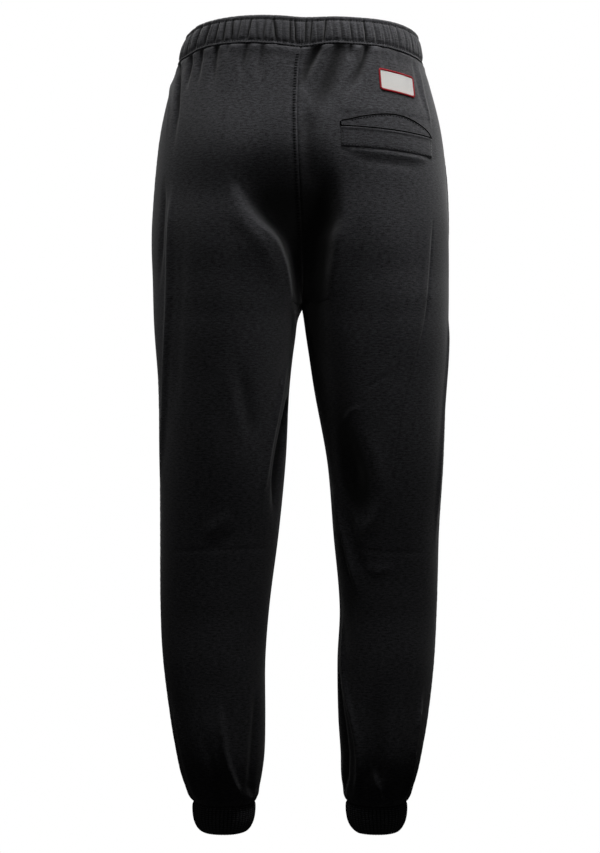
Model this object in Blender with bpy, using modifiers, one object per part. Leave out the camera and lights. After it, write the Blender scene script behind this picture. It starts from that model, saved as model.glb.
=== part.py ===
"""Jogger sweatpants in the hollow form they have when worn, with no wearer in them.

Frame: +Z up, the front faces -Y, and the wearer's left is +X.
The origin is the middle of the waistband ring, halfway up the band, where the wearer holds it.
Tables and constants are in millimetres; MM turns them into metres.
"""

import math
from collections import namedtuple

import bmesh
import bpy
from mathutils import Vector
from mathutils.bvhtree import BVHTree

MM = 0.001

# Cloth
SEAM_GAP = 0.3  # between two pieces sewn together
LEG_CLOTH = 2.0  # brushed fleece
BAND_CLOTH = 4.0  # two layers of fleece over elastic
CUFF_CLOTH = 3.0  # doubled rib knit
TRIM_CLOTH = 1.6  # welt, facing and pocket edges
PATCH_CLOTH = 1.0
TRIM_LIFT = 1.2  # a trim piece's clearance over its panel, along the way it is laid on

# Heights
BAND_TOP = 18.5
BAND_BOTTOM = -18.5
PANEL_TOP = BAND_BOTTOM - SEAM_GAP
CROTCH = -328.0
HEM = -970.7
CUFF_TOP = HEM - SEAM_GAP
CUFF_BOTTOM = -1008.0

# Section shape: a superellipse of this power, and the curve of the centre seams to the crotch
FULLNESS = 2.2
RISE_POWER = 2.2
SEAT_TURN = -190.0  # the back seam starts to curve under here
BELLY_TURN = -215.0  # and the front seam here
FLATTEST_RISE = 0.999

# Grid of one leg panel
EDGE_STRIP = 2.0  # narrow column beside each seam, which keeps the wall square to it
PANEL_COLUMNS = 9  # wide columns between the two strips

# Waistband and cuffs
GATHERS = 21
STATIONS_PER_GATHER = 4
GATHER_DEPTH = 0.9
CUFF_STATIONS = 36

LEFT = "left"
RIGHT = "right"
BACK = "back"
FRONT = "front"
OUTWARD = {LEFT: 1.0, RIGHT: -1.0}
FACING = {BACK: 1.0, FRONT: -1.0}

# One row for each level of the body and legs. inner is the seam between the legs, or the
# centre seam above the crotch; middle is the leg's centre line and outer its side seam, as x.
# centre is the leg's y, back and front its depths from there. steps is the number of grid
# rows down to the next level.
Section = namedtuple(
    "Section",
    "height left_inner left_middle left_outer right_inner right_middle right_outer "
    "centre back front steps",
)
SECTIONS = [
    Section(20.0, 0.0, 20.0, 147.5, 0.0, -20.0, -151.0, 0.0, 112.0, 112.0, 0),
    Section(PANEL_TOP, 0.0, 30.0, 159.0, 0.0, -30.0, -157.5, 0.0, 120.0, 119.0, 1),
    Section(-42.0, 3.0, 36.0, 167.0, 3.0, -34.0, -165.0, 0.0, 123.0, 119.0, 2),
    Section(-100.0, 5.0, 50.0, 180.5, 5.0, -45.0, -179.5, 0.0, 130.0, 118.0, 2),
    Section(-160.0, 3.0, 64.0, 188.0, 3.0, -60.0, -188.0, 0.0, 136.0, 116.0, 2),
    Section(-217.0, 0.0, 76.0, 192.0, 0.0, -74.0, -191.0, 0.0, 137.0, 114.0, 2),
    Section(-256.0, -1.0, 84.0, 192.5, -1.0, -84.0, -190.5, 0.0, 132.0, 113.0, 2),
    Section(-295.0, -2.0, 91.0, 191.0, -2.0, -92.0, -190.0, 0.0, 122.0, 111.0, 4),
    Section(CROTCH, -2.0, 95.0, 190.0, -2.0, -97.0, -190.0, 0.0, 116.0, 109.0, 1),
    Section(-345.0, 5.5, 97.0, 189.5, -5.0, -98.0, -190.0, -0.5, 113.0, 108.0, 1),
    Section(-368.0, 8.5, 98.5, 188.5, -8.0, -99.0, -190.0, -1.0, 110.0, 106.0, 1),
    Section(-438.0, 16.0, 101.0, 185.0, -18.0, -103.0, -188.0, -3.0, 99.0, 99.0, 2),
    Section(-532.0, 21.0, 102.0, 183.5, -35.0, -110.0, -185.0, -5.0, 87.0, 90.0, 2),
    Section(-625.0, 30.0, 106.0, 183.0, -43.0, -111.0, -179.0, -4.0, 79.0, 82.0, 2),
    Section(-719.0, 42.0, 112.0, 182.0, -51.0, -113.0, -176.0, 3.0, 74.0, 75.0, 1),
    Section(-789.0, 47.0, 112.5, 178.0, -48.0, -110.0, -172.0, 9.0, 74.0, 69.0, 2),
    Section(-859.0, 47.0, 108.0, 169.0, -49.0, -106.5, -164.0, 12.0, 70.0, 63.0, 1),
    Section(-906.0, 48.0, 104.5, 161.0, -52.0, -104.0, -156.0, 12.0, 66.0, 59.0, 1),
    Section(-938.0, 52.0, 103.0, 154.0, -53.0, -101.5, -149.0, 10.0, 60.0, 54.0, 1),
    Section(-960.0, 57.0, 101.0, 145.0, -57.0, -99.0, -141.0, 8.5, 52.0, 48.0, 1),
    Section(HEM, 61.0, 100.0, 139.0, -60.0, -98.0, -136.0, 8.0, 46.0, 43.0, 0),
]
TRUNK = [row for row in SECTIONS if row.height >= CROTCH]
LEGS = [row for row in SECTIONS if row.height <= CROTCH]

# The largest folds. across runs from 0 at the centre or inner seam to 1 at the side seam and
# drifts on the way down; start is how much of the length the fold grows over; a depth over
# zero is a ridge and under zero a trough.
Fold = namedtuple("Fold", "side face across drift top bottom start width depth")
FOLDS = [
    Fold(LEFT, BACK, 0.42, 0.06, PANEL_TOP, -95.0, 0.0, 12.0, -2.2),
    Fold(LEFT, BACK, 0.74, 0.04, PANEL_TOP, -110.0, 0.0, 12.0, -2.2),
    Fold(LEFT, BACK, 0.40, -0.24, -165.0, -262.0, 0.4, 16.0, -5.0),
    Fold(LEFT, BACK, 0.42, -0.26, -185.0, -330.0, 0.4, 20.0, 3.0),
    Fold(LEFT, BACK, 0.12, 0.10, -390.0, -600.0, 0.4, 22.0, -5.0),
    Fold(LEFT, BACK, 0.50, -0.08, -830.0, HEM, 0.6, 14.0, 3.0),
    Fold(RIGHT, BACK, 0.14, 0.12, PANEL_TOP, -120.0, 0.0, 14.0, -3.0),
    Fold(RIGHT, BACK, 0.42, 0.06, PANEL_TOP, -90.0, 0.0, 12.0, -2.2),
    Fold(RIGHT, BACK, 0.26, 0.12, -430.0, -590.0, 0.4, 26.0, -6.0),
    Fold(RIGHT, BACK, 0.16, 0.14, -560.0, -760.0, 0.4, 16.0, 3.0),
    Fold(RIGHT, BACK, 0.20, 0.06, -780.0, HEM, 0.5, 16.0, -4.0),
    Fold(LEFT, FRONT, 0.20, 0.10, PANEL_TOP, -110.0, 0.0, 14.0, -2.5),
    Fold(LEFT, FRONT, 0.55, 0.05, PANEL_TOP, -95.0, 0.0, 12.0, -2.2),
    Fold(LEFT, FRONT, 0.10, 0.26, -255.0, -380.0, 0.4, 18.0, -4.0),
    Fold(LEFT, FRONT, 0.35, 0.10, -780.0, HEM, 0.5, 16.0, -3.5),
    Fold(RIGHT, FRONT, 0.24, 0.08, PANEL_TOP, -105.0, 0.0, 14.0, -2.5),
    Fold(RIGHT, FRONT, 0.60, 0.05, PANEL_TOP, -90.0, 0.0, 12.0, -2.2),
    Fold(RIGHT, FRONT, 0.12, 0.24, -250.0, -370.0, 0.4, 18.0, -4.0),
    Fold(RIGHT, FRONT, 0.40, 0.08, -790.0, HEM, 0.5, 16.0, -3.5),
]
FOLD_FADE = 18.0  # folds flatten out this far from a seam

# One row for each level of a cuff: how far it stands out from the hem's outline
CuffLevel = namedtuple("CuffLevel", "height out")
CUFF_LEVELS = [
    CuffLevel(CUFF_TOP, 0.0),
    CuffLevel(-982.0, 0.2),
    CuffLevel(-996.0, -2.5),
    CuffLevel(-1004.0, -5.5),
    CuffLevel(CUFF_BOTTOM, -10.0),
]

# One row for each level of the waistband: the level whose outline it follows, and how far it
# stands out from that. The last two rows keep the lower edge upright, square to the panels.
BandLevel = namedtuple("BandLevel", "height outline out")
BAND_LEVELS = [
    BandLevel(BAND_TOP, 17.0, 0.0),
    BandLevel(2.0, 2.0, 1.2),
    BandLevel(-16.0, BAND_BOTTOM, 0.5),
    BandLevel(BAND_BOTTOM, BAND_BOTTOM, 0.5),
]

# Back pocket on the right seat, and the patch over it. slope is the fall towards the side.
POCKET_INNER = -49.0
POCKET_OUTER = -164.0
POCKET_TOP = -117.6  # top of the welt at its inner end
POCKET_SLOPE = 0.057
WELT_HEIGHT = 24.5
WELT_COLUMNS = 22
WELT_ROWS = 2
PATCH_CENTRE = (-119.5, -55.5)
PATCH_SIZE = (46.0, 31.0)
PATCH_SLOPE = 0.045
PATCH_CELLS = (8, 4)

# One row for each point of the facing's arch: how far it stands above the welt
ArchPoint = namedtuple("ArchPoint", "x rise")
FACING_ARCH = [
    ArchPoint(POCKET_INNER, 6.7),
    ArchPoint(-76.0, 15.1),
    ArchPoint(-104.0, 20.4),
    ArchPoint(-124.0, 20.7),
    ArchPoint(-140.0, 17.1),
    ArchPoint(-154.0, 11.3),
    ArchPoint(POCKET_OUTER, 2.4),
]

# Side pockets, as an edge band just ahead of each side seam
SIDE_POCKET_TOP = -76.0
SIDE_POCKET_BOTTOM = -250.0
SIDE_POCKET_NEAR = -4.0
SIDE_POCKET_WIDTH = 12.0
SIDE_POCKET_CELLS = (2, 10)

# Colours are linear
BLACK_FLEECE = (0.016, 0.016, 0.017)
BLACK_RIB = (0.013, 0.013, 0.014)
WOVEN_WHITE = (0.72, 0.71, 0.69)

RAY_START = 500.0


def table_value(rows, column, height, key="height"):
    """A smooth value of one column at a height between the rows of a table."""
    heights = [getattr(row, key) for row in rows]
    values = [getattr(row, column) for row in rows]
    if height >= heights[0]:
        return values[0]
    if height <= heights[-1]:
        return values[-1]
    upper = max(i for i, level in enumerate(heights[:-1]) if level >= height)

    def slope(i):
        above = max(i - 1, 0)
        below = min(i + 1, len(rows) - 1)
        return (values[below] - values[above]) / (heights[below] - heights[above])

    span = heights[upper + 1] - heights[upper]
    t = (height - heights[upper]) / span
    start = values[upper]
    end = values[upper + 1]
    leave = slope(upper) * span
    arrive = slope(upper + 1) * span
    return (
        start
        + t * leave
        + t * t * (3 * (end - start) - 2 * leave - arrive)
        + t ** 3 * (2 * (start - end) + leave + arrive)
    )


def smooth_step(value):
    value = min(max(value, 0.0), 1.0)
    return value * value * (3 - 2 * value)


def seam_rise(height, face):
    """How full the centre seam stands: 1 on the flat of the back or front, 0 at the crotch."""
    turn = SEAT_TURN if face == BACK else BELLY_TURN
    fallen = min(max((turn - height) / (turn - CROTCH), 0.0), 1.0)
    return min((1 - fallen ** RISE_POWER) ** (1 / RISE_POWER), FLATTEST_RISE)


def half_section(side, face, height, samples=160):
    """The outline of one panel at a height, from its inner or centre seam to the side seam."""
    out = OUTWARD[side]
    levels = TRUNK if height >= CROTCH else LEGS
    inner = table_value(levels, side + "_inner", height) + out * SEAM_GAP / 2
    middle = table_value(SECTIONS, side + "_middle", height)
    outer = table_value(SECTIONS, side + "_outer", height)
    centre = table_value(SECTIONS, "centre", height)
    depth = table_value(SECTIONS, face, height) * FACING[face]
    rise = seam_rise(height, face)
    share = (1 - rise ** FULLNESS) ** (1 / FULLNESS)
    inner_reach = abs(middle - inner) / share
    outer_reach = abs(outer - middle)
    start = math.acos(share ** (FULLNESS / 2))
    points = []
    for i in range(samples + 1):
        angle = start + (math.pi - start) * i / samples
        along = math.cos(angle)
        reach = -inner_reach if along > 0 else outer_reach
        x = middle + out * reach * abs(along) ** (2 / FULLNESS)
        y = centre + depth * max(math.sin(angle), 0.0) ** (2 / FULLNESS)
        points.append(Vector((x, y, height)))
    return points


def spaced(points, distances):
    """Points at these distances along a polyline, each with its share of the length."""
    runs = [0.0]
    for before, after in zip(points, points[1:]):
        runs.append(runs[-1] + (after - before).length)
    found = []
    for distance in distances(runs[-1]):
        i = max(n for n in range(len(points) - 1) if runs[n] <= distance)
        part = (distance - runs[i]) / (runs[i + 1] - runs[i])
        tangent = points[i + 1] - points[i]
        found.append((points[i] + tangent * part, tangent.normalized(), distance, runs[-1]))
    return found


def fold_depth(side, face, height, distance, length):
    """How far the folds move the cloth out at a place on a panel."""
    total = 0.0
    for fold in FOLDS:
        inside = fold.bottom < height <= fold.top
        if (fold.side, fold.face) != (side, face) or not inside:
            continue
        down = (fold.top - height) / (fold.top - fold.bottom)
        grown = smooth_step(down / fold.start) if fold.start else 1.0
        strength = grown * smooth_step((1 - down) / 0.6)
        away = distance - (fold.across + fold.drift * down) * length
        total += fold.depth * strength * math.exp(-((away / fold.width) ** 2))
    fade = smooth_step(min(distance, length - distance) / FOLD_FADE)
    return total * fade


def panel_heights():
    """The grid rows of a leg panel, from the band down to the hem."""
    levels = SECTIONS[1:]
    heights = []
    for upper, lower in zip(levels, levels[1:]):
        for step in range(upper.steps):
            part = step / upper.steps
            heights.append(upper.height + (lower.height - upper.height) * part)
    heights.append(HEM)
    return heights


def panel_points(side, face):
    """The outer surface of one leg panel as rows of points."""

    def columns(length):
        first = SEAM_GAP / 2 * (1 - rise)
        last = length - SEAM_GAP / 2
        near = first + EDGE_STRIP
        far = last - EDGE_STRIP
        wide = [near + (far - near) * i / PANEL_COLUMNS for i in range(PANEL_COLUMNS + 1)]
        return [first, *wide, last]

    rows = []
    for height in panel_heights():
        rise = seam_rise(height, face)
        row = []
        for point, tangent, distance, length in spaced(half_section(side, face, height), columns):
            normal = Vector((tangent.y, -tangent.x, 0.0)) * -OUTWARD[side] * FACING[face]
            row.append(point + normal * fold_depth(side, face, height, distance, length))
        rows.append(row)
    return rows


def grid_object(name, rows, flipped, closed_round, cloth, material):
    """An open surface through rows of points, given its thickness by Solidify on the inside."""
    mesh = bpy.data.meshes.new(name)
    shape = bmesh.new()
    grid = [[shape.verts.new(point * MM) for point in row] for row in rows]
    count = len(rows[0])
    for upper, lower in zip(grid, grid[1:]):
        for i in range(count if closed_round else count - 1):
            after = (i + 1) % count
            corners = [upper[i], upper[after], lower[after], lower[i]]
            shape.faces.new(corners[::-1] if flipped else corners)
    shape.to_mesh(mesh)
    shape.free()
    mesh.shade_smooth()
    piece = bpy.data.objects.new(name, mesh)
    parts.objects.link(piece)
    mesh.materials.append(material)
    wall = piece.modifiers.new("cloth", "SOLIDIFY")
    wall.thickness = cloth * MM
    wall.offset = -1.0
    piece.modifiers.new("flat faces", "TRIANGULATE")  # so that trim fits the panel it lies on
    return piece


def cloth_material(name, colour, roughness):
    material = bpy.data.materials.new(name)
    material.use_nodes = True
    shader = material.node_tree.nodes["Principled BSDF"]
    shader.inputs["Base Color"].default_value = (*colour, 1.0)
    shader.inputs["Roughness"].default_value = roughness
    shader.inputs["Metallic"].default_value = 0.0
    return material


def leg_panel(side, face):
    """A back or front of one leg, from the waistband to the hem."""
    flipped = OUTWARD[side] * FACING[face] < 0
    rows = panel_points(side, face)
    name = f"{face}_{side}_leg"
    return grid_object(name, rows, flipped, False, LEG_CLOTH, fleece)


def body_outline(height, stations):
    """Evenly spaced points round the whole body, anticlockwise from the centre back."""
    quarters = [
        half_section(RIGHT, BACK, height),
        half_section(RIGHT, FRONT, height)[::-1],
        half_section(LEFT, FRONT, height),
        half_section(LEFT, BACK, height)[::-1],
    ]
    outline = [point for quarter in quarters for point in quarter[:-1]]
    outline.append(outline[0])
    return round_points(outline, stations)


def leg_outline(side, height, stations):
    """Evenly spaced points round one leg, from its inner seam."""
    turns = [BACK, FRONT] if side == RIGHT else [FRONT, BACK]
    outline = half_section(side, turns[0], height)[:-1]
    outline += half_section(side, turns[1], height)[::-1]
    outline[-1] = outline[0]
    return round_points(outline, stations)


def round_points(outline, stations):
    def even(length):
        return [length * i / stations for i in range(stations)]

    return [(point, Vector((-tangent.y, tangent.x, 0.0))) for point, tangent, _, _ in
            spaced(outline, even)]


def waistband():
    """The gathered band: its elastic draws the cloth into soft upright folds."""
    stations = GATHERS * STATIONS_PER_GATHER
    rows = []
    for level in BAND_LEVELS:
        row = []
        for i, (point, inward) in enumerate(body_outline(level.outline, stations)):
            gather = GATHER_DEPTH * math.cos(math.tau * i / STATIONS_PER_GATHER)
            placed = point - inward * (level.out + gather)
            row.append(Vector((placed.x, placed.y, level.height)))
        rows.append(row)
    return grid_object("waistband", rows, True, True, BAND_CLOTH, fleece)


def cuff(side):
    """A rib-knit ring whose lower edge rolls inwards."""
    rows = []
    for level in CUFF_LEVELS:
        outline = leg_outline(side, HEM, CUFF_STATIONS)
        row = []
        for point, inward in outline:
            placed = point - inward * level.out
            row.append(Vector((placed.x, placed.y, level.height)))
        rows.append(row)
    return grid_object(f"cuff_{side}", rows, True, True, CUFF_CLOTH, rib)


def laid_on(panel, starts, direction):
    """Rows of start points dropped on a panel along a direction, and lifted clear of it."""
    bpy.context.view_layer.update()
    surface = BVHTree.FromObject(panel, bpy.context.evaluated_depsgraph_get())
    rows = []
    for start_row in starts:
        row = []
        for start in start_row:
            place, _, _, _ = surface.ray_cast(start * MM, direction)
            row.append(place / MM - direction * TRIM_LIFT)
        rows.append(row)
    return rows


def trim_object(name, panel, starts, direction, flipped, cloth, material):
    """A trim piece lying on a panel, with its thickness on the outside."""
    rows = laid_on(panel, starts, direction)
    piece = grid_object(name, rows, flipped, False, cloth, material)
    piece.modifiers["cloth"].offset = 1.0
    return piece


def welt_top(x):
    """Height of the welt's top edge, which falls towards the side seam."""
    return POCKET_TOP + (x - POCKET_INNER) * POCKET_SLOPE


def pocket_columns():
    reach = POCKET_OUTER - POCKET_INNER
    return [POCKET_INNER + reach * i / WELT_COLUMNS for i in range(WELT_COLUMNS + 1)]


def back_pocket_welt(panel):
    """The stitched strip under the pocket's mouth."""
    starts = []
    for row in range(WELT_ROWS + 1):
        drop = WELT_HEIGHT * row / WELT_ROWS
        starts.append([Vector((x, RAY_START, welt_top(x) - drop)) for x in pocket_columns()])
    toward = Vector((0.0, -1.0, 0.0))
    return trim_object("back_pocket_welt", panel, starts, toward, True, TRIM_CLOTH, fleece)


def back_pocket_facing(panel):
    """The crescent of facing that shows where the mouth gapes."""
    top_row = []
    bottom_row = []
    for x in pocket_columns():
        bottom = welt_top(x) + 2 * SEAM_GAP
        top = welt_top(x) + table_value(FACING_ARCH, "rise", x, "x")
        bottom_row.append(Vector((x, RAY_START, bottom)))
        top_row.append(Vector((x, RAY_START, top)))
    middle_row = [(top + bottom) / 2 for top, bottom in zip(top_row, bottom_row)]
    starts = [top_row, middle_row, bottom_row]
    toward = Vector((0.0, -1.0, 0.0))
    return trim_object("back_pocket_facing", panel, starts, toward, True, TRIM_CLOTH, fleece)


def back_patch(panel):
    """A small plain woven patch, sewn on at a slant."""
    columns, rows = PATCH_CELLS
    width, height = PATCH_SIZE
    starts = []
    for row in range(rows + 1):
        drop = height * (row / rows - 0.5)
        start_row = []
        for column in range(columns + 1):
            aside = width * (column / columns - 0.5)
            x = PATCH_CENTRE[0] - aside + drop * PATCH_SLOPE
            z = PATCH_CENTRE[1] - drop - aside * PATCH_SLOPE
            start_row.append(Vector((x, RAY_START, z)))
        starts.append(start_row)
    toward = Vector((0.0, -1.0, 0.0))
    return trim_object("back_patch", panel, starts, toward, True, PATCH_CLOTH, woven)


def side_pocket(side, panel):
    """The turned edge of a side-seam pocket, on the front panel."""
    columns, rows = SIDE_POCKET_CELLS
    out = OUTWARD[side]
    starts = []
    for row in range(rows + 1):
        height = SIDE_POCKET_TOP + (SIDE_POCKET_BOTTOM - SIDE_POCKET_TOP) * row / rows
        start_row = []
        for column in range(columns + 1):
            y = SIDE_POCKET_NEAR - SIDE_POCKET_WIDTH * column / columns
            start_row.append(Vector((out * RAY_START, y, height)))
        starts.append(start_row)
    toward = Vector((-out, 0.0, 0.0))
    return trim_object(
        f"side_pocket_{side}", panel, starts, toward, side == RIGHT, TRIM_CLOTH, fleece
    )


def clear_scene():
    for item in list(bpy.data.objects):
        bpy.data.objects.remove(item)


clear_scene()
parts = bpy.data.collections.new("jogger_sweatpants")
bpy.context.scene.collection.children.link(parts)

fleece = cloth_material("black fleece", BLACK_FLEECE, 0.92)
rib = cloth_material("black rib knit", BLACK_RIB, 0.95)
woven = cloth_material("woven white patch", WOVEN_WHITE, 0.8)

panels = {(side, face): leg_panel(side, face) for side in OUTWARD for face in FACING}
waistband()
for leg in OUTWARD:
    cuff(leg)
    side_pocket(leg, panels[leg, FRONT])
back_pocket_welt(panels[RIGHT, BACK])
back_pocket_facing(panels[RIGHT, BACK])
back_patch(panels[RIGHT, BACK])
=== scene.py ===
import math
import random

import bpy
import numpy as np
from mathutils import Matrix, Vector
from mathutils.bvhtree import BVHTree


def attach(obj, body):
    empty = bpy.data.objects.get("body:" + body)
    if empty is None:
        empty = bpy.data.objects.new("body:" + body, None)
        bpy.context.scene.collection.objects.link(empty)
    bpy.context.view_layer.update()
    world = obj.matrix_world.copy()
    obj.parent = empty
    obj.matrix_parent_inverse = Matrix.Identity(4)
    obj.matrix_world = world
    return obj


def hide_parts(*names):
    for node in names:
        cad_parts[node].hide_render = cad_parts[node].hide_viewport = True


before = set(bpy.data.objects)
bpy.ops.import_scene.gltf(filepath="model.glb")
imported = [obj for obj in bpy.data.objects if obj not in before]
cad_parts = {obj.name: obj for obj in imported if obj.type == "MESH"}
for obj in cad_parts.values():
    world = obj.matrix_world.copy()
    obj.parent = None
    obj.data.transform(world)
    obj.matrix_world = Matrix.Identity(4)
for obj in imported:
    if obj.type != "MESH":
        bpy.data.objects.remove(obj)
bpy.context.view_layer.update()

mm = 0.001  # tables are in millimetres, meshes in metres
print("frame loaded:", len(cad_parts), "nodes")


def linearColour(hexColour):
    # sRGB hex to the linear colour that the shader sockets hold
    parts = [int(hexColour[i:i + 2], 16) / 255 for i in (1, 3, 5)]
    return [p / 12.92 if p <= 0.04045 else ((p + 0.055) / 1.055) ** 2.4 for p in parts] + [1.0]


def addNode(tree, kind, sets=None, links=None):
    # sets gives sockets and settings by name or number, links joins sockets to outputs
    node = tree.nodes.new(kind)
    for name, value in (sets or {}).items():
        if isinstance(name, int) or name in node.inputs:
            node.inputs[name].default_value = value
        else:
            setattr(node, name, value)
    for name, output in (links or {}).items():
        tree.links.new(output, node.inputs[name])
    return node


def smoothStep(t):
    t = np.clip(t, 0.0, 1.0)
    return t * t * (3 - 2 * t)


def curveThrough(at, values, where):
    # a smooth curve through a few values, at steadily rising or falling places
    at = np.asarray(at, float)
    values = np.asarray(values, float)
    if at[0] > at[-1]:
        at, where = -at, -np.asarray(where, float)
    slope = np.empty_like(values)
    slope[1:-1] = (values[2:] - values[:-2]) / (at[2:] - at[:-2])
    slope[0] = (values[1] - values[0]) / (at[1] - at[0])
    slope[-1] = (values[-1] - values[-2]) / (at[-1] - at[-2])
    where = np.clip(where, at[0], at[-1])
    i = np.clip(np.searchsorted(at, where, side="right") - 1, 0, len(at) - 2)
    span = at[i + 1] - at[i]
    t = (where - at[i]) / span
    start, end = values[i], values[i + 1]
    leave, arrive = slope[i] * span, slope[i + 1] * span
    return (start + t * leave + t**2 * (3 * (end - start) - 2 * leave - arrive)
            + t**3 * (2 * (start - end) + leave + arrive))


def smoothPath(points, count):
    # points evenly spaced on a smooth curve through a few
    points = np.asarray(points, float)
    steps = np.linalg.norm(np.diff(points, axis=0), axis=1)
    run = np.concatenate([[0.0], np.cumsum(steps)])
    where = np.linspace(0, run[-1], count)
    if len(points) == 2:
        return np.stack([np.interp(where, run, points[:, k]) for k in (0, 1)], axis=1)
    return np.stack([curveThrough(run, points[:, k], where) for k in (0, 1)], axis=1)


# the body the cloth is cut to
# One row for each level: its height, then for the left and right leg the x of the inner seam
# (the centre seam above the crotch), the leg's centre line and the side seam; then the leg's
# centre in y and its depths behind and ahead of that.
body = {
    "columns": ("height", "leftInner", "leftMiddle", "leftOuter", "rightInner", "rightMiddle",
                "rightOuter", "centre", "back", "front"),
    "levels": [
        (20.0, 0.0, 20.0, 147.5, 0.0, -20.0, -151.0, 0.0, 112.0, 112.0),
        (-18.8, 0.0, 30.0, 159.0, 0.0, -30.0, -157.5, 0.0, 120.0, 119.0),
        (-42.0, 3.0, 36.0, 167.0, 3.0, -34.0, -165.0, 0.0, 123.0, 119.0),
        (-100.0, 5.0, 50.0, 180.5, 5.0, -45.0, -179.5, 0.0, 130.0, 118.0),
        (-160.0, 3.0, 64.0, 188.0, 3.0, -60.0, -188.0, 0.0, 136.0, 116.0),
        (-217.0, 0.0, 76.0, 192.0, 0.0, -74.0, -191.0, 0.0, 137.0, 114.0),
        (-256.0, -1.0, 84.0, 192.5, -1.0, -84.0, -190.5, 0.0, 132.0, 113.0),
        (-295.0, -2.0, 91.0, 191.0, -2.0, -92.0, -190.0, 0.0, 122.0, 111.0),
        (-328.0, -2.0, 95.0, 190.0, -2.0, -97.0, -190.0, 0.0, 116.0, 109.0),
        (-345.0, 5.5, 97.0, 189.5, -5.0, -98.0, -190.0, -0.5, 113.0, 108.0),
        (-368.0, 8.5, 98.5, 188.5, -8.0, -99.0, -190.0, -1.0, 110.0, 106.0),
        (-438.0, 16.0, 101.0, 185.0, -18.0, -103.0, -188.0, -3.0, 99.0, 99.0),
        (-532.0, 21.0, 102.0, 183.5, -35.0, -110.0, -185.0, -5.0, 87.0, 90.0),
        (-625.0, 30.0, 106.0, 183.0, -43.0, -111.0, -179.0, -4.0, 79.0, 82.0),
        (-719.0, 42.0, 112.0, 182.0, -51.0, -113.0, -176.0, 3.0, 74.0, 75.0),
        (-789.0, 47.0, 112.5, 178.0, -48.0, -110.0, -172.0, 9.0, 74.0, 69.0),
        (-859.0, 47.0, 108.0, 169.0, -49.0, -106.5, -164.0, 12.0, 70.0, 63.0),
        (-906.0, 48.0, 104.5, 161.0, -52.0, -104.0, -156.0, 12.0, 66.0, 59.0),
        (-938.0, 52.0, 103.0, 154.0, -53.0, -101.5, -149.0, 10.0, 60.0, 54.0),
        (-960.0, 57.0, 101.0, 145.0, -57.0, -99.0, -141.0, 8.5, 52.0, 48.0),
        (-970.7, 61.0, 100.0, 139.0, -60.0, -98.0, -136.0, 8.0, 46.0, 43.0),
    ],
    "fullness": 2.2,  # power of the superellipse that each level follows
    "crotch": -328.0,
    "turn": {"back": -190.0, "front": -215.0},  # where the centre seams start to curve under
    "riseShape": 2.2,
    "seamGap": -1.2,  # the two halves cross a little at the centre seams
}
outward = {"left": 1.0, "right": -1.0}
facing = {"back": 1.0, "front": -1.0}


def bodyColumn(name, heights, kind=None):
    rows = body["levels"]
    if kind == "trunk":
        rows = [row for row in rows if row[0] >= body["crotch"]]
    if kind == "legs":
        rows = [row for row in rows if row[0] <= body["crotch"]]
    column = body["columns"].index(name)
    return curveThrough([row[0] for row in rows], [row[column] for row in rows], heights)


def seamRise(heights, face):
    # 1 where the centre seam stands on the flat of the back or front, 0 at the crotch
    turn = body["turn"][face]
    fallen = np.clip((turn - heights) / (turn - body["crotch"]), 0.0, 1.0)
    rise = (1 - fallen ** body["riseShape"]) ** (1 / body["riseShape"])
    return np.minimum(rise, 0.999)


def halfSections(side, face, heights, samples=420):
    # outline of one panel at each height, from the inner or centre seam to the side seam
    heights = np.asarray(heights, float)
    out = outward[side]
    power = body["fullness"]
    inner = np.where(heights >= body["crotch"], bodyColumn(side + "Inner", heights, "trunk"),
                     bodyColumn(side + "Inner", heights, "legs")) + out * body["seamGap"] / 2
    middle = bodyColumn(side + "Middle", heights)
    outer = bodyColumn(side + "Outer", heights)
    centre = bodyColumn("centre", heights)
    depth = bodyColumn(face, heights) * facing[face]
    share = (1 - seamRise(heights, face) ** power) ** (1 / power)
    start = np.arccos(share ** (power / 2))
    angle = start[:, None] + (math.pi - start)[:, None] * np.linspace(0, 1, samples)
    along, across = np.cos(angle), np.clip(np.sin(angle), 0, 1)
    reach = np.where(along > 0, -(np.abs(middle - inner) / share)[:, None],
                     np.abs(outer - middle)[:, None])
    x = middle[:, None] + out * reach * np.abs(along) ** (2 / power)
    y = centre[:, None] + depth[:, None] * across ** (2 / power)
    return x, y


def spacedAlong(x, y, places):
    # points at shares (0 to 1, or a function of the length) of each row, with outline lengths
    run = np.concatenate([np.zeros((len(x), 1)),
                          np.cumsum(np.hypot(np.diff(x, axis=1), np.diff(y, axis=1)), axis=1)],
                         axis=1)
    lengths = run[:, -1]
    where = np.stack([places(length) for length in lengths])
    newX = np.stack([np.interp(w, r, row) for w, r, row in zip(where, run, x)])
    newY = np.stack([np.interp(w, r, row) for w, r, row in zip(where, run, y)])
    return newX, newY, where, lengths


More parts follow.
